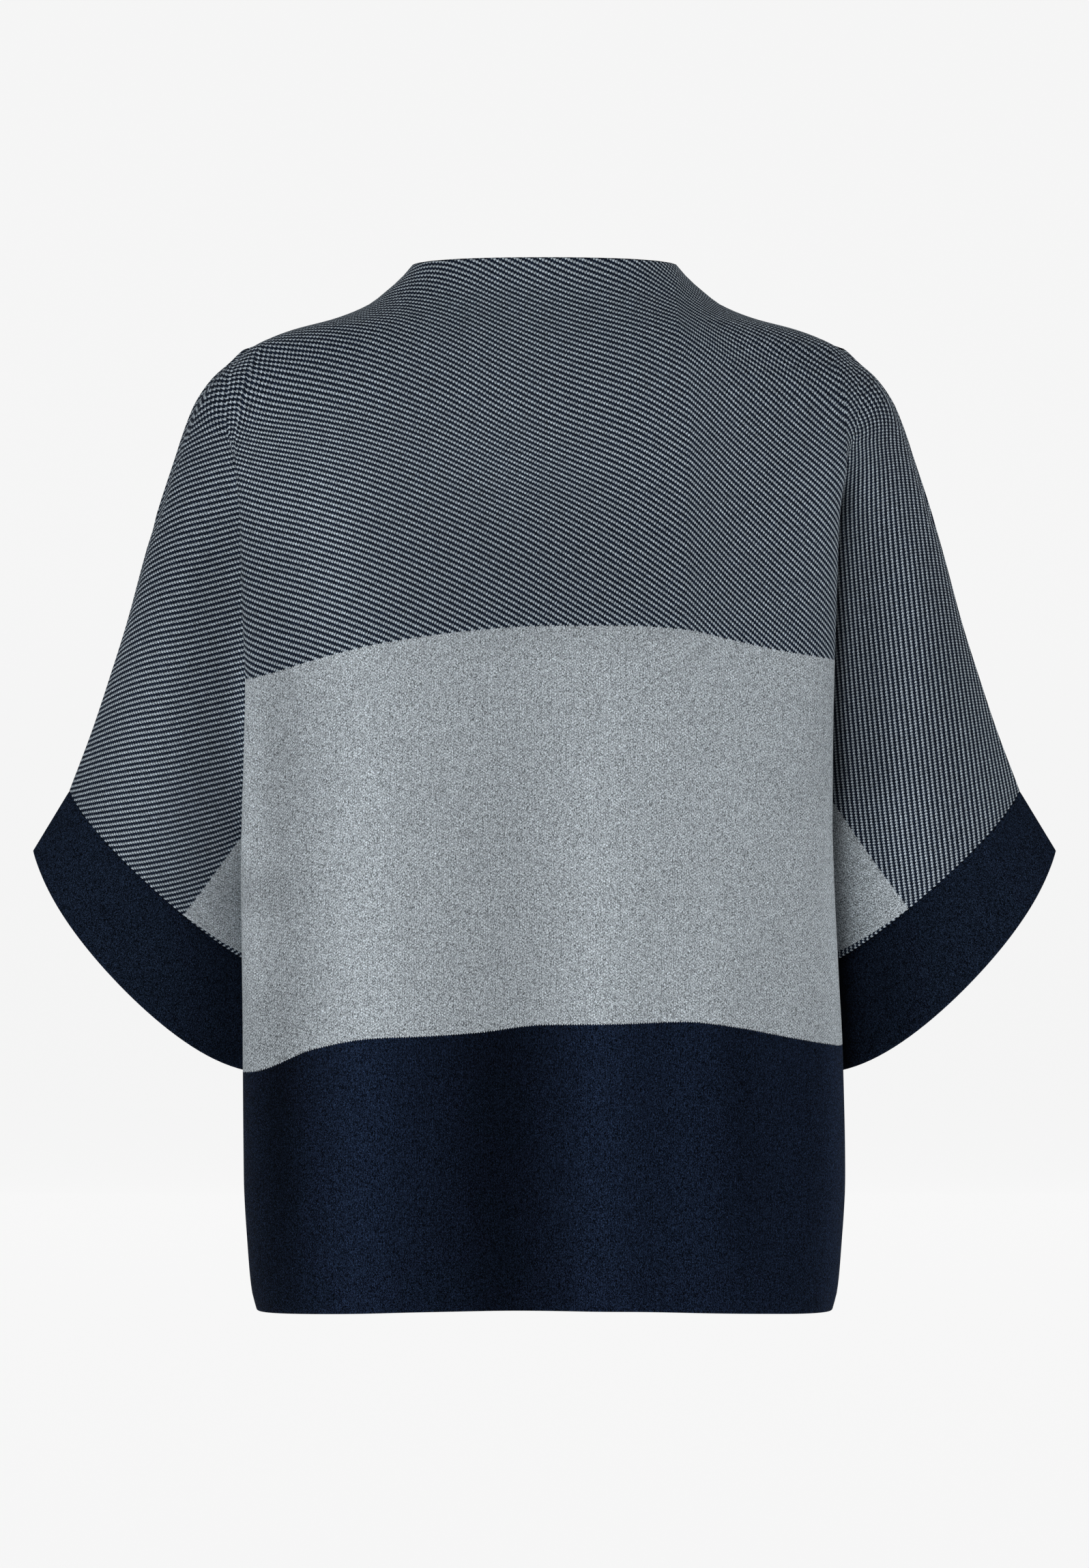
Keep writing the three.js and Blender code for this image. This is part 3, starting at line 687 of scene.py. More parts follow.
# %% One panel's points and cloth coordinates
def panel_grids(name):
    """The body's grid and both sleeves' grids, each with its cloth coordinates."""
    body = body_grid(name)
    centre = body.shape[1] // 2
    body_uv = body_cloth(body)
    turned_uv = body_uv.copy()
    round_it = round_places()[None, :]
    along = (np.linspace(0, 1, SLEEVE_ROWS + 1) ** LOOP_CROWDING)[:, None]
    grids = {}
    for side in (-1, 1):
        edge = 0 if side < 0 else body.shape[1] - 1
        armhole = body[:ARMHOLE_ROWS + 1, edge]
        edge_uv = body_uv[:ARMHOLE_ROWS + 1, edge] * [side, 1]
        joint = joint_place(side, armhole, edge_uv)
        loops = (along + 0 * round_it, round_it + 0 * along)
        points = sleeve_points(name, side, *loops, armhole[None])
        points[0] = armhole
        uv = sleeve_cloth(side, along, points, armhole, edge_uv, joint)
        uv = with_painted_shading(name, points, uv, painted_crease_shading(side, points))
        grids[side] = {"points": points, "uv": uv}
        half = slice(0, centre) if side < 0 else slice(centre, None)
        turned_uv[:, half] = turned_body(side, body[:, half], body_uv[:, half], armhole, joint)
    grids[0] = {"points": body, "uv": with_painted_shading(name, body, turned_uv)}
    return grids


# %% [markdown]
# ## From a sheet to cloth with an edge
#
# Real cloth has two faces and a soft, rounded edge. A Solidify modifier would square the edge off
# and pinch the creases, so the two faces are moved out by half the wall along each point's normal,
# and the border between them is rounded with a few narrow strips.

# %% Sheets
class Sheet:
    """A growing surface: points, faces, and a cloth coordinate for each face corner."""

    def __init__(self):
        self.points, self.faces, self.uvs, self.count = [], [], [], 0

    def add(self, points):
        """Adds a grid's points and gives their numbers."""
        flat = points.reshape(-1, 3)
        self.points.append(flat)
        numbers = self.count + np.arange(len(flat)).reshape(points.shape[:-1])
        self.count += len(flat)
        return numbers

    def join(self, numbers, uv, flip):
        """Makes quads from a grid of point numbers."""
        def corners(a):
            quad = np.stack([a[:-1, :-1], a[1:, :-1], a[1:, 1:], a[:-1, 1:]], 2)
            quad = quad[:, :, ::-1] if flip else quad
            return quad.reshape(-1, 4, *a.shape[2:])
        self.faces.append(corners(numbers))
        self.uvs.append(corners(uv))

    def arrays(self):
        return np.concatenate(self.points), np.concatenate(self.faces), np.concatenate(self.uvs)


# %% Panels and bands as sheets
BAND_ROWS = 12
BAND_EVENNESS = 0.6        # how far the wales of a band keep the seam's spacing


def make_panel_sheet(name):
    grids = panel_grids(name)
    sheet = Sheet()
    body = sheet.add(grids[0]["points"])
    sheet.join(body, grids[0]["uv"], name == "front")
    for side in (-1, 1):
        edge = 0 if side < 0 else body.shape[1] - 1
        rest = sheet.add(grids[side]["points"][1:])
        numbers = np.concatenate([body[None, :ARMHOLE_ROWS + 1, edge], rest])
        sheet.join(numbers, grids[side]["uv"], (name == "front") == (side < 0))
    return sheet.arrays(), grids


def make_band_sheet(side, grids):
    """A band starts on the last loop of both panels' sleeves."""
    round_it = round_places()[None, :]
    along = np.linspace(1, 2, BAND_ROWS + 1)[:, None]
    halves = {}
    for name in ("back", "front"):
        points = loop_points(name, side, along + 0 * round_it, round_it + 0 * along)
        points[..., 0] *= side
        points[0] = grids[name][side]["points"][-1]
        halves[name] = points
    loops = np.concatenate([halves["back"], halves["front"][:, -2::-1]], 1)
    around, away = along_rows(loops, 1), along_rows(loops, 0)
    around = around[:1] * BAND_EVENNESS + around * (1 - BAND_EVENNESS)
    sheet = Sheet()
    numbers = sheet.add(loops[:, :-1])
    numbers = np.concatenate([numbers, numbers[:, :1]], 1)
    # The third number is the painted shadow and light beside the side fold.
    uv = np.stack([side * around, -away, -painted_crease_shading(side, loops)], -1)
    sheet.join(numbers, uv, side > 0)
    return sheet.arrays()


# %% Directions through the wall
SHORTEST = 1e-9            # anything shorter has no direction
TINY = 1e-12
KEY_STEP = 10_000_000      # more than the points of any sheet


def point_normals(points, faces):
    """Each point's direction out of the cloth, weighed by the corners that meet in it."""
    normals = np.zeros_like(points)
    corner = points[faces]
    for i in range(4):
        here, after, before = corner[:, i], corner[:, (i + 1) % 4], corner[:, i - 1]
        a, b = after - here, before - here
        cross = np.cross(a, b)
        size = np.linalg.norm(cross, axis=1, keepdims=True)
        lengths = np.linalg.norm(a, axis=1) * np.linalg.norm(b, axis=1)
        angle = np.arctan2(size[:, 0], np.einsum("ij,ij->i", a, b))
        unit = cross / np.maximum(size, TINY)
        np.add.at(normals, faces[:, i], unit * (angle * (lengths > SHORTEST))[:, None])
    return normals / np.maximum(np.linalg.norm(normals, axis=1, keepdims=True), TINY)


def border_edges(faces):
    """The edges that only one face uses, in that face's direction."""
    edges = np.concatenate([faces[:, [i, (i + 1) % 4]] for i in range(4)])
    key = edges[:, 0].astype(np.int64) * KEY_STEP + edges[:, 1]
    back = edges[:, 1].astype(np.int64) * KEY_STEP + edges[:, 0]
    return edges[~np.isin(key, back)]


# %% Sewn seams
SAME_PLACE = 200           # points within 1 / 200 mm are one place
OPPOSED = 0.5              # below this share of their number, directions cancel out
TIP_LEAN, TIP_RISE = 0.5, 0.9


def share_seam_normals(sheets):
    """Where pieces are sewn together they share one direction through the wall. At the shoulder's
    tip the two panels lie flat on each other, so there it points up and outward."""
    places = {}
    for name, data in sheets.items():
        for index in np.unique(data["border"]):
            key = tuple(np.round(data["points"][index] * SAME_PLACE).astype(int))
            places.setdefault(key, []).append((name, index))
    for group in places.values():
        total = sum(sheets[name]["normals"][index] for name, index in group)
        if np.linalg.norm(total) < OPPOSED * len(group):
            total = total + [TIP_LEAN * np.sign(key[0]), 0, TIP_RISE]
        total = total / np.linalg.norm(total)
        for name, index in group:
            sheets[name]["normals"][index] = total
            if len(group) > 1:
                sheets[name]["sewn"].add(int(index))


# %% The rounded edge
EDGE_STEPS = 4
FREE_EDGE = 0.8            # how far an open edge bulges, in half walls
SEWN_EDGE = 0.45           # the same at a seam
SEWN_GAP = 0.05            # between a piece and the middle of its seam


def edge_directions(points, border, normals):
    """The direction straight out of the cloth's edge at each border point."""
    out = {}
    for a, b in border:
        along = points[b] - points[a]
        for index in (a, b):
            direction = np.cross(along, normals[index])
            size = np.linalg.norm(direction)
            out[index] = out.get(index, 0) + direction / max(size, SHORTEST)
    return {index: d / max(np.linalg.norm(d), SHORTEST) for index, d in out.items()}


def edge_reach(data, index):
    """How far the edge bulges at a border point, in millimetres."""
    return WALL / 2 * (SEWN_EDGE if index in data["sewn"] else FREE_EDGE)


def edge_strips(data, out):
    """The rounded edge's own points, and the numbers of each border point's strip."""
    points, normals, half = data["points"], data["normals"], WALL / 2
    strips, extra, number = {}, [], 2 * len(points)
    for index, direction in out.items():
        reach = edge_reach(data, index)
        middle = points[index] - direction * (reach + SEWN_GAP)
        strips[index] = [index]
        for step in range(1, EDGE_STEPS):
            angle = np.pi * step / EDGE_STEPS
            through = normals[index] * half * np.cos(angle)
            outward = direction * reach * np.sin(angle)
            extra.append(middle + through + outward)
            strips[index].append(number)
            number += 1
        strips[index].append(len(points) + index)
    return np.array(extra), strips


def edge_faces(data, strips):
    """The quads of the rounded edge, and the cloth coordinates of their corners."""
    corner_uv = {}
    for face, uv in zip(data["faces"], data["uvs"]):
        for index, place in zip(face, uv):
            if index in strips:
                corner_uv[int(index)] = place
    rim, rim_uv = [], []
    for a, b in data["border"]:
        for step in range(EDGE_STEPS):
            rim.append([strips[b][step], strips[a][step], strips[a][step + 1], strips[b][step + 1]])
            rim_uv.append([corner_uv[b], corner_uv[a], corner_uv[a], corner_uv[b]])
    return np.array(rim), np.array(rim_uv)


# %% From sheet to mesh
def make_cloth(name, data, materials):
    """A closed piece with two faces and a rounded edge, in metres."""
    points, faces, uvs, normals = (data[k] for k in ("points", "faces", "uvs", "normals"))
    half = WALL / 2
    out = edge_directions(points, data["border"], normals)
    layers = [points + normals * half, points - normals * half]
    for index, direction in out.items():
        for layer in layers:
            layer[index] = layer[index] - direction * (edge_reach(data, index) + SEWN_GAP)
    extra, strips = edge_strips(data, out)
    rim, rim_uv = edge_faces(data, strips)
    all_points = np.concatenate([*layers, extra]) * MM
    all_faces = np.concatenate([faces, faces[:, ::-1] + len(points), rim])
    cloth = np.concatenate([uvs, uvs[:, ::-1], rim_uv]).reshape(-1, 3)
    mesh = bpy.data.meshes.new(name)
    mesh.from_pydata(all_points.tolist(), [], all_faces.tolist())
    # The second map carries the painted light and shade of the folds and creases.
    for layer_name, columns, unit in (("cloth", [0, 1], MM), ("painted_shading", [2, 2], 1)):
        layer = mesh.uv_layers.new(name=layer_name)
        layer.data.foreach_set("uv", (cloth[:, columns] * unit).astype(np.float32).ravel())
    for material in materials:
        mesh.materials.append(material)
    inside = np.zeros(len(all_faces), np.int32)
    inside[len(faces):2 * len(faces)] = 1
    mesh.polygons.foreach_set("material_index", inside)
    mesh.polygons.foreach_set("use_smooth", np.ones(len(all_faces), bool))
    mesh.update()
    piece = bpy.data.objects.new(name, mesh)
    bpy.context.scene.collection.objects.link(piece)
    print(f"{name}: {len(all_faces) * 2} triangles")
    return piece


# %% [markdown]
# ## Knit as a material
#
# At 6.5 wales to the centimetre this sweater has about half a million stitches, far too many to
# model. A picture of knitting could be laid on, but it would repeat. So the stitches are worked out
# in the material, from the cloth coordinates. Dividing u and v by the size of a stitch gives each
# one a number. The yarn of a stitch makes a V, so its rows are bent upward towards both sides of
# the wale before they are numbered. The same numbers then choose each stitch's colour, which is
# why a knitted-in border is jagged, stitch by stitch.

# %% Helpers for node graphs
WALE = 1.53 * MM
COURSE = 0.87 * MM


class Graph:
    """Builds a material's nodes from left to right."""

    def __init__(self, name):
        self.material = bpy.data.materials.new(name)
        self.material.use_nodes = True
        self.tree = self.material.node_tree
        self.tree.nodes.clear()

    def node(self, kind, **settings):
        node = self.tree.nodes.new(kind)
        for key, value in settings.items():
            setattr(node, key, value)
        return node

    def feed(self, socket, value):
        if isinstance(value, bpy.types.NodeSocket):
            self.tree.links.new(value, socket)
        else:
            socket.default_value = value[:3] if socket.type == "VECTOR" else value

    def math(self, operation, *values):
        node = self.node("ShaderNodeMath", operation=operation)
        for socket, value in zip(node.inputs, values):
            self.feed(socket, value)
        return node.outputs[0]

    def times(self, first, second):
        return self.math("MULTIPLY", first, second)

    def scaled(self, value, factor, plus):
        return self.math("MULTIPLY_ADD", value, factor, plus)

    def blend(self, share, first, second):
        node = self.node("ShaderNodeMix", data_type="RGBA")
        self.feed(node.inputs[0], share)
        self.feed(node.inputs[6], first)
        self.feed(node.inputs[7], second)
        return node.outputs[2]

    def noise(self, place, scale, detail):
        node = self.node("ShaderNodeTexNoise", noise_dimensions="3D")
        self.feed(node.inputs["Vector"], place)
        node.inputs["Scale"].default_value = scale
        node.inputs["Detail"].default_value = detail
        return node.outputs["Fac"]


def linear(red, green, blue):
    """A colour as a paint card gives it, 0 to 255, in the light values that shaders use."""
    values = [c / 255 for c in (red, green, blue)]
    return (*[c / 12.92 if c <= 0.04045 else ((c + 0.055) / 1.055) ** 2.4 for c in values], 1.0)


print("stitches in 10 cm:", round(100 * MM / WALE), "across,", round(100 * MM / COURSE), "up")


# %% One stitch
STITCH_RISE = 1.0          # how far a stitch's legs rise, in courses
OFF_LEG = (1.72, -0.72)    # puts a leg's ridge between the wale's middle and its edge
LEG_ROUND = 2.2            # how flat the top of a leg is
ARCH = (0.35, 0.65)        # how much a leg arches within its course, and the rest
FLECKS_ACROSS = 4.0        # flecks to a stitch
FLECKS_UP = 2.0


def stitches(graph):
    """Numbers and relief of the stitches, from the cloth coordinates."""
    place = graph.node("ShaderNodeUVMap", uv_map="cloth").outputs[0]
    split = graph.node("ShaderNodeSeparateXYZ")
    graph.feed(split.inputs[0], place)
    u, v = split.outputs[0], split.outputs[1]
    wale = graph.math("DIVIDE", u, WALE)
    in_wale = graph.math("FRACT", wale)
    leg = graph.math("ABSOLUTE", graph.scaled(in_wale, 2.0, -1.0))
    bent = graph.scaled(leg, -STITCH_RISE, graph.math("DIVIDE", v, COURSE))
    in_course = graph.math("FRACT", bent)
    off_leg = graph.math("ABSOLUTE", graph.scaled(leg, *OFF_LEG))
    across = graph.math("SUBTRACT", 1.0, graph.math("POWER", off_leg, LEG_ROUND))
    up = graph.math("SINE", graph.times(in_course, math.pi))
    relief = graph.times(across, graph.scaled(up, *ARCH))
    cell = graph.node("ShaderNodeCombineXYZ")
    wale_number, course_number = graph.math("FLOOR", wale), graph.math("FLOOR", bent)
    graph.feed(cell.inputs[0], graph.math("FLOOR", graph.times(wale, FLECKS_ACROSS)))
    graph.feed(cell.inputs[1], graph.math("FLOOR", graph.times(bent, FLECKS_UP)))
    fleck = graph.node("ShaderNodeTexWhiteNoise", noise_dimensions="3D")
    graph.feed(fleck.inputs["Vector"], cell.outputs[0])
    # The painted light and shade of the folds and creases, read from the second map.
    painted_shading_split = graph.node("ShaderNodeSeparateXYZ")
    graph.feed(painted_shading_split.inputs[0], graph.node("ShaderNodeUVMap", uv_map="painted_shading").outputs[0])
    return {
        "place": place, "u": u, "v": v, "wale": wale_number, "course": course_number,
        "bent": bent, "leg": leg, "relief": relief, "fleck": fleck.outputs["Value"],
        "painted_shading": painted_shading_split.outputs[0],
    }


# %% [markdown]
# ## The yarn
#
# Such yarn is rough, hardly glossy and slightly downy. A hair system would give real down, but it
# is heavy, and an exported model loses it. So the down is left out, apart from a rough surface
# with a trace of sheen, and the stitches' relief goes in as bump.

# %% Yarn
STITCH_DEPTH = 0.2 * MM
DOWN = 0.005               # the trace of sheen
DOWN_COLOUR = (0.35, 0.6, 1.0, 1.0)
HEATHER = 1.7              # how much the fibres of one yarn differ
FIBRES = (1300.0, 2.0)     # scale and detail of the fibres
FIBRE_TONE = (1.6, 0.2)    # how much they differ, and their darkest tone


def knit_shader(graph, colour, relief):
    """Yarn with its stitches in relief."""
    shader = graph.node("ShaderNodeBsdfPrincipled")
    graph.feed(shader.inputs["Base Color"], colour)
    shader.inputs["Roughness"].default_value = 0.9
    shader.inputs["Specular IOR Level"].default_value = 0.02
    shader.inputs["Sheen Weight"].default_value = DOWN
    shader.inputs["Sheen Roughness"].default_value = 0.7
    shader.inputs["Sheen Tint"].default_value = DOWN_COLOUR
    bump = graph.node("ShaderNodeBump")
    bump.inputs["Strength"].default_value = 1.0
    bump.inputs["Distance"].default_value = STITCH_DEPTH
    graph.feed(bump.inputs["Height"], relief)
    graph.feed(shader.inputs["Normal"], bump.outputs[0])
    output = graph.node("ShaderNodeOutputMaterial")
    graph.feed(output.inputs[0], shader.outputs[0])
    return graph.material


def shaded(graph, colour, shade):
    """A colour made darker or lighter by a share around 1."""
    node = graph.node("ShaderNodeVectorMath", operation="SCALE")
    graph.feed(node.inputs[0], colour)
    graph.feed(node.inputs["Scale"], shade)
    return node.outputs[0]


def yarn_tone(graph, knit, spread):
    """A yarn's own lighter and darker fibres, stitch by stitch and finer still."""
    fibres = graph.noise(knit["place"], *FIBRES)
    tone = graph.scaled(knit["fleck"], spread, 1 - spread / 2)
    return graph.times(tone, graph.scaled(fibres, *FIBRE_TONE))


# %% [markdown]
# ## The three zones of the panels
#
# Twill: about two light stitches and two dark ones in turn up each wale, moved by one from wale to
# wale, which draws thin slanting lines. Grey: a heather yarn of lighter and darker fibres, with
# every other stitch a little darker, as in birdseye. Navy: plain knitting in a dark yarn with a
# faint fleck. A narrow strip of twill runs down beside each band. Each zone could be a material of
# its own, but one material that chooses by stitch gives the jagged borders.
#
# The inside shows the twill with its two yarns swapped, as knitting in two colours often does. It
# is a guess, like the whole front.

# %% Colours and tones
LIGHT_YARN = linear(163, 174, 183)
DARK_YARN = linear(18, 25, 38)
GREY_YARN = linear(150, 157, 162)
NAVY_YARN = linear(12, 19, 32)
TWILL_REPEAT = 4.0         # stitches from one light line to the next
LIGHT_LINE = (1.0, 0.55)   # a light line fades out and is full this far from its middle
TWILL_FIBRES = 1.1         # how much the light yarn's fibres differ
GROOVE_SHADE = 0.85        # painted shade in the grooves between light stitches: how dark
GROOVE_POWER = 3.0         # how narrow they are
DARK_FLECK = (1.8, 0.1)    # how much the dark yarn's flecks differ, and their darkest tone
SOFT_GROOVES = (0.35, 0.75)             # painted shade in the grooves of plain knitting: how much, and the tone in a groove
BIRDSEYE = (0.5, 0.75)     # how much every other grey stitch differs, and the darker one's tone
PAINTED_SHADING_ON_TWILL = (0.15, 0.97)             # how much painted light and shade changes a zone, and its tone without
PAINTED_SHADING_ON_GREY = (0.16, 1.0)
PAINTED_SHADING_ON_NAVY = (0.6, 1.0)
WEDGE_SLOPE = 0.07         # how fast the twill edge beside a band widens towards the underarm


# %% Colour of each zone
def twill_colour(graph, knit, tone, light, dark):
    """Slanting lines of light stitches on dark ones."""
    turn = graph.math("ADD", knit["wale"], knit["bent"])
    turn = graph.math("FLOORED_MODULO", turn, TWILL_REPEAT)
    in_pair = graph.math("ABSOLUTE", graph.math("SUBTRACT", turn, 1.0))
    is_light = graph.node("ShaderNodeMapRange", interpolation_type="SMOOTHSTEP")
    graph.feed(is_light.inputs["Value"], in_pair)
    is_light.inputs["From Min"].default_value = LIGHT_LINE[0]
    is_light.inputs["From Max"].default_value = LIGHT_LINE[1]
    # Painted shade in the grooves between the light stitches.
    between = graph.math("POWER", knit["leg"], GROOVE_POWER)
    grooves = graph.scaled(between, -GROOVE_SHADE, 1.0)
    pale = shaded(graph, light, graph.times(tone, grooves))
    deep = shaded(graph, dark, graph.scaled(knit["fleck"], *DARK_FLECK))
    twill = graph.blend(is_light.outputs[0], deep, pale)
    # Painted light and shade of the folds.
    return shaded(graph, twill, graph.scaled(knit["painted_shading"], *PAINTED_SHADING_ON_TWILL))


def plain_colours(graph, knit, heather):
    """The grey zone's colour and the navy one's."""
    # Painted shade in the grooves of plain knitting.
    plain = graph.times(heather, graph.scaled(knit["relief"], *SOFT_GROOVES))
    every_other = graph.math("SUBTRACT", knit["wale"], knit["bent"])
    every_other = graph.math("FLOORED_MODULO", every_other, 2.0)
    every_other = graph.math("ABSOLUTE", graph.math("SUBTRACT", every_other, 1.0))
    # Painted light and shade of the folds, on grey and navy alike.
    grey_tone = graph.times(plain, graph.scaled(knit["painted_shading"], *PAINTED_SHADING_ON_GREY))
    grey_tone = graph.times(grey_tone, graph.scaled(every_other, *BIRDSEYE))
    navy_tone = graph.times(plain, heather)
    navy_tone = graph.times(navy_tone, graph.scaled(knit["painted_shading"], *PAINTED_SHADING_ON_NAVY))
    return shaded(graph, GREY_YARN, grey_tone), shaded(graph, NAVY_YARN, navy_tone)


# %% Body knit
def make_body_knit(name, light, dark):
    """One material that chooses its zone stitch by stitch."""
    graph = Graph(name)
    knit = stitches(graph)
    tone = yarn_tone(graph, knit, TWILL_FIBRES)
    heather = yarn_tone(graph, knit, HEATHER)
    twill = twill_colour(graph, knit, tone, light, dark)
    grey, navy = plain_colours(graph, knit, heather)
    height = graph.times(knit["course"], COURSE)
    above = graph.math("GREATER_THAN", height, TWILL_ENDS * MM)
    below = graph.math("LESS_THAN", height, GREY_ENDS * MM)
    reach = graph.math("ABSOLUTE", knit["u"])
    edge = graph.scaled(knit["v"], -WEDGE_SLOPE, reach)
    edge = graph.math("GREATER_THAN", edge, (SLEEVE_LENGTH - WEDGE_SLOPE * TWILL_ENDS) * MM)
    colour = graph.blend(graph.math("MAXIMUM", above, edge), grey, twill)
    colour = graph.blend(below, colour, navy)
    return knit_shader(graph, colour, knit["relief"])


body_knit = make_body_knit("body_knit", LIGHT_YARN, DARK_YARN)
body_reverse = make_body_knit("body_knit_reverse", DARK_YARN, LIGHT_YARN)
print("materials:", body_knit.name, body_reverse.name)


# %% [markdown]
# ## The bands
#
# The bands are plain knitting in the navy yarn, with their wales running away from the seam. They
# could be one more zone of the panels, but a band is a piece of its own with its own grain. The
# same stitch graph serves, with one colour.

# %% Band knit
BAND_YARN = linear(15, 22, 34)
# How much the painted shadow and light beside the side fold changes the band's colour.
PAINTED_SHADING_ON_BAND = (0.16, 1.0)


def make_band_knit(name, yarn):
    graph = Graph(name)
    knit = stitches(graph)
    # Painted shade in the grooves of plain knitting.
    tone = graph.scaled(knit["relief"], *SOFT_GROOVES)
    heather = yarn_tone(graph, knit, HEATHER)
    tone = graph.times(graph.times(tone, heather), heather)
    # Painted shadow and light beside the side fold.
    tone = graph.times(tone, graph.scaled(knit["painted_shading"], *PAINTED_SHADING_ON_BAND))
    return knit_shader(graph, shaded(graph, yarn, tone), knit["relief"])


band_knit = make_band_knit("cuff_knit", BAND_YARN)
print("material:", band_knit.name)

# %% [markdown]
# ## Making the four pieces
#
# Each piece could be thickened alone, but then two walls would cross or gape where they are sewn
# together. So all sheets are made first, and along a seam they share one direction through the
# wall.

# %% Panels and bands
sheets, grids = {}, {}
for name in ("back", "front"):
    (points, faces, uvs), grids[name] = make_panel_sheet(name)
    sheets["knit_" + name] = {"points": points, "faces": faces, "uvs": uvs}
for side, name in ((-1, "band_left"), (1, "band_right")):
    points, faces, uvs = make_band_sheet(side, grids)
    sheets[name] = {"points": points, "faces": faces, "uvs": uvs}
for data in sheets.values():
    data["normals"] = point_normals(data["points"], data["faces"])
    data["border"] = border_edges(data["faces"])
    data["sewn"] = set()
share_seam_normals(sheets)
pieces = {}
for name, data in sheets.items():
    materials = [band_knit, band_knit] if name.startswith("band") else [body_knit, body_reverse]
    pieces[name] = make_cloth(name, data, materials)

# %% [markdown]
# ## What each piece stands for
#
# A knitted piece is cut or knitted flat and only then hangs on shoulders. Each piece here rides on
# the garment's one body and stands for its solid, and its material is named after its slot of the
# record.

# %% Riding and standing in
for name, node, slot in (
    ("knit_back", "back", "body_knit"), ("knit_front", "front", "body_knit"),
    ("band_left", "cuff_left", "cuff_knit"), ("band_right", "cuff_right", "cuff_knit"),
):
    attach(pieces[name], "root")
    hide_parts(node)
    print(f"{name} stands for {node} and takes {slot}")

# %% [markdown]
# ## Studio
#
# A plain pale room. The floor sweeps up into a backdrop, so that there is no horizon. Lamps alone
# would leave it uneven, so the paper glows by itself, and that lights the garment a little from
# behind and below too. A second wall stands on the near side, for views from the front. It is only
# there to be looked at: it gives the garment no light and no shadow.

# %% Floor and walls, in metres
FLOOR_HEIGHT = -1.05
BACKDROP_FAR = 9.0
BACKDROP_HALF = 12.0
BACKDROP_TOP = 9.0
TURN_RADIUS = 1.2          # of the sweep from floor to backdrop
TURN_STEPS = 24
PAPER_GREY = linear(80, 80, 80)
PAPER_GLOW = 0.868


def pale_paper():
    """Matt paper that glows."""
    material = bpy.data.materials.new("pale_paper")
    material.use_nodes = True
    shader = material.node_tree.nodes["Principled BSDF"]
    shader.inputs["Base Color"].default_value = PAPER_GREY
    shader.inputs["Roughness"].default_value = 0.9
    shader.inputs["Specular IOR Level"].default_value = 0.1
    shader.inputs["Emission Color"].default_value = (1, 1, 1, 1)
    shader.inputs["Emission Strength"].default_value = PAPER_GLOW
    return material


def make_sheet_of_paper(name, profile, material):
    """A wide sheet that follows a profile of (y, z) places."""
    points = [(x, y, z) for y, z in profile for x in (-BACKDROP_HALF, BACKDROP_HALF)]
    faces = [(2 * i, 2 * i + 1, 2 * i + 3, 2 * i + 2) for i in range(len(profile) - 1)]
    mesh = bpy.data.meshes.new(name)
    mesh.from_pydata(points, [], faces)
    mesh.polygons.foreach_set("use_smooth", [True] * len(faces))
    sheet = bpy.data.objects.new(name, mesh)
    bpy.context.scene.collection.objects.link(sheet)
    mesh.materials.append(material)
    return sheet


paper = pale_paper()
near_foot = (-BACKDROP_FAR, FLOOR_HEIGHT)
profile = [near_foot]
for a in [math.pi / 2 * i / TURN_STEPS for i in range(TURN_STEPS + 1)]:
    away, up = TURN_RADIUS * (1 - math.sin(a)), TURN_RADIUS * (1 - math.cos(a))
    profile.append((BACKDROP_FAR - away, FLOOR_HEIGHT + up))
make_sheet_of_paper("backdrop", profile + [(BACKDROP_FAR, BACKDROP_TOP)], paper)
near_wall = make_sheet_of_paper("near_wall", [near_foot, (-BACKDROP_FAR, BACKDROP_TOP)], paper)
near_wall.visible_diffuse = near_wall.visible_glossy = near_wall.visible_shadow = False
print("room, m:", 2 * BACKDROP_HALF, "by", 2 * BACKDROP_FAR)

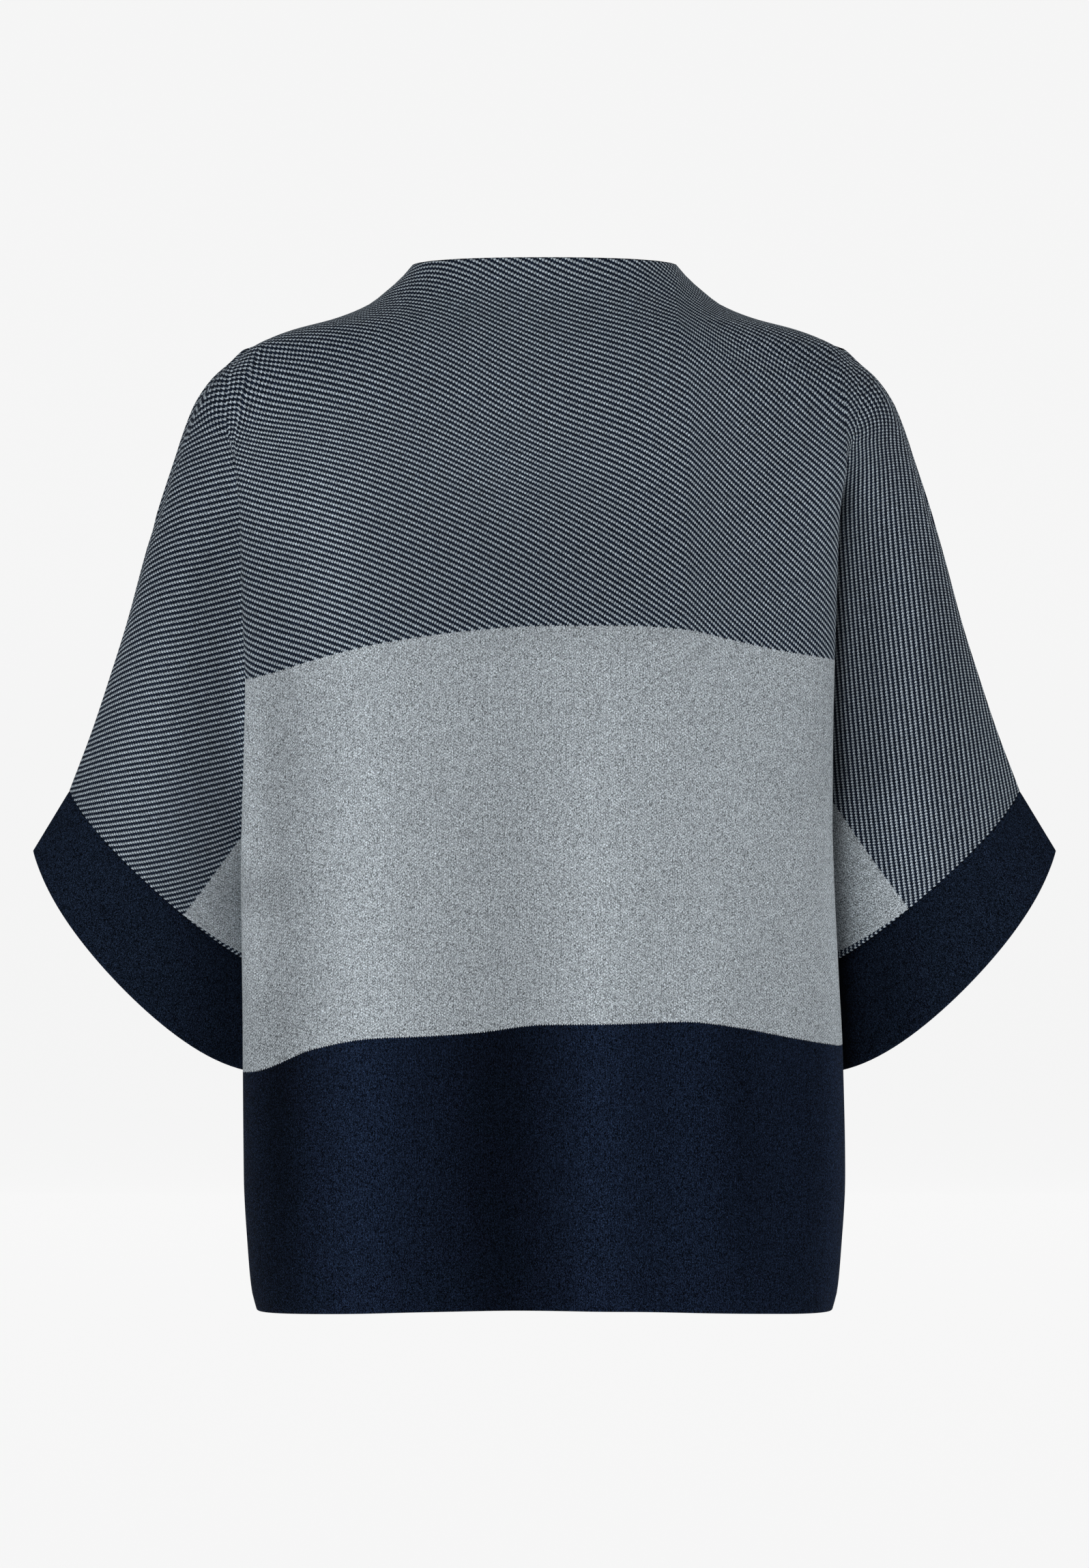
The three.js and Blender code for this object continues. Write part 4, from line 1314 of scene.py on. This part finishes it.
# %% [markdown]
# ## Light
#
# One large lamp would do, but it would leave one flank black. Four soft ones keep the folds
# readable: one on each side of the camera, the left one stronger, and a weak one above and below.

# %% Lamps and world
GARMENT_MIDDLE = Vector((0, 0, -0.27))
WORLD_LIGHT = 0.25


def make_light(name, place, size, power):
    """A square soft light that faces the middle of the garment."""
    light = bpy.data.lights.new(name, "AREA")
    light.shape = "SQUARE"
    light.size = size
    light.energy = power
    lamp = bpy.data.objects.new(name, light)
    lamp.location = place
    lamp.rotation_euler = (GARMENT_MIDDLE - Vector(place)).to_track_quat("-Z", "Y").to_euler()
    bpy.context.scene.collection.objects.link(lamp)
    print(f"{name}: {power} W, {size} m wide")


make_light("key_left", (-2.2, -2.9, 0.4), 1.4, 47.5)
make_light("fill_right", (2.2, -2.9, 0.4), 1.8, 38.5)
make_light("soft_above", (0, -0.8, 2.6), 2.4, 9.5)
make_light("soft_below", (0, -2.2, -0.95), 1.6, 5)
world = bpy.data.worlds.new("studio")
world.use_nodes = True
world.node_tree.nodes["Background"].inputs["Color"].default_value = (1, 1, 1, 1)
world.node_tree.nodes["Background"].inputs["Strength"].default_value = WORLD_LIGHT
bpy.context.scene.world = world
bpy.context.scene.view_settings.view_transform = "Standard"

# %% [markdown]
# ## Camera
#
# A garment is best judged without the swell that a near, wide lens gives. So the camera stands well
# back, level with the garment's middle, and its lens is long enough for the garment to fill the
# view.

# %% Camera, in metres
CAMERA_DISTANCE = 3.5
CAMERA_HEIGHT = -0.2716
VIEW_HEIGHT = 0.9192       # seen from top to bottom, at the garment
SENSOR = 36                # mm
camera_data = bpy.data.cameras.new("camera")
camera_data.sensor_fit = "VERTICAL"
camera_data.sensor_height = SENSOR
camera_data.lens = SENSOR * CAMERA_DISTANCE / VIEW_HEIGHT
camera_data.clip_end = 50
camera = bpy.data.objects.new("camera", camera_data)
camera.location = (0, -CAMERA_DISTANCE, CAMERA_HEIGHT)
camera.rotation_euler = (math.pi / 2, 0, 0)
bpy.context.scene.collection.objects.link(camera)
bpy.context.scene.camera = camera
print("lens:", round(camera_data.lens), "mm")
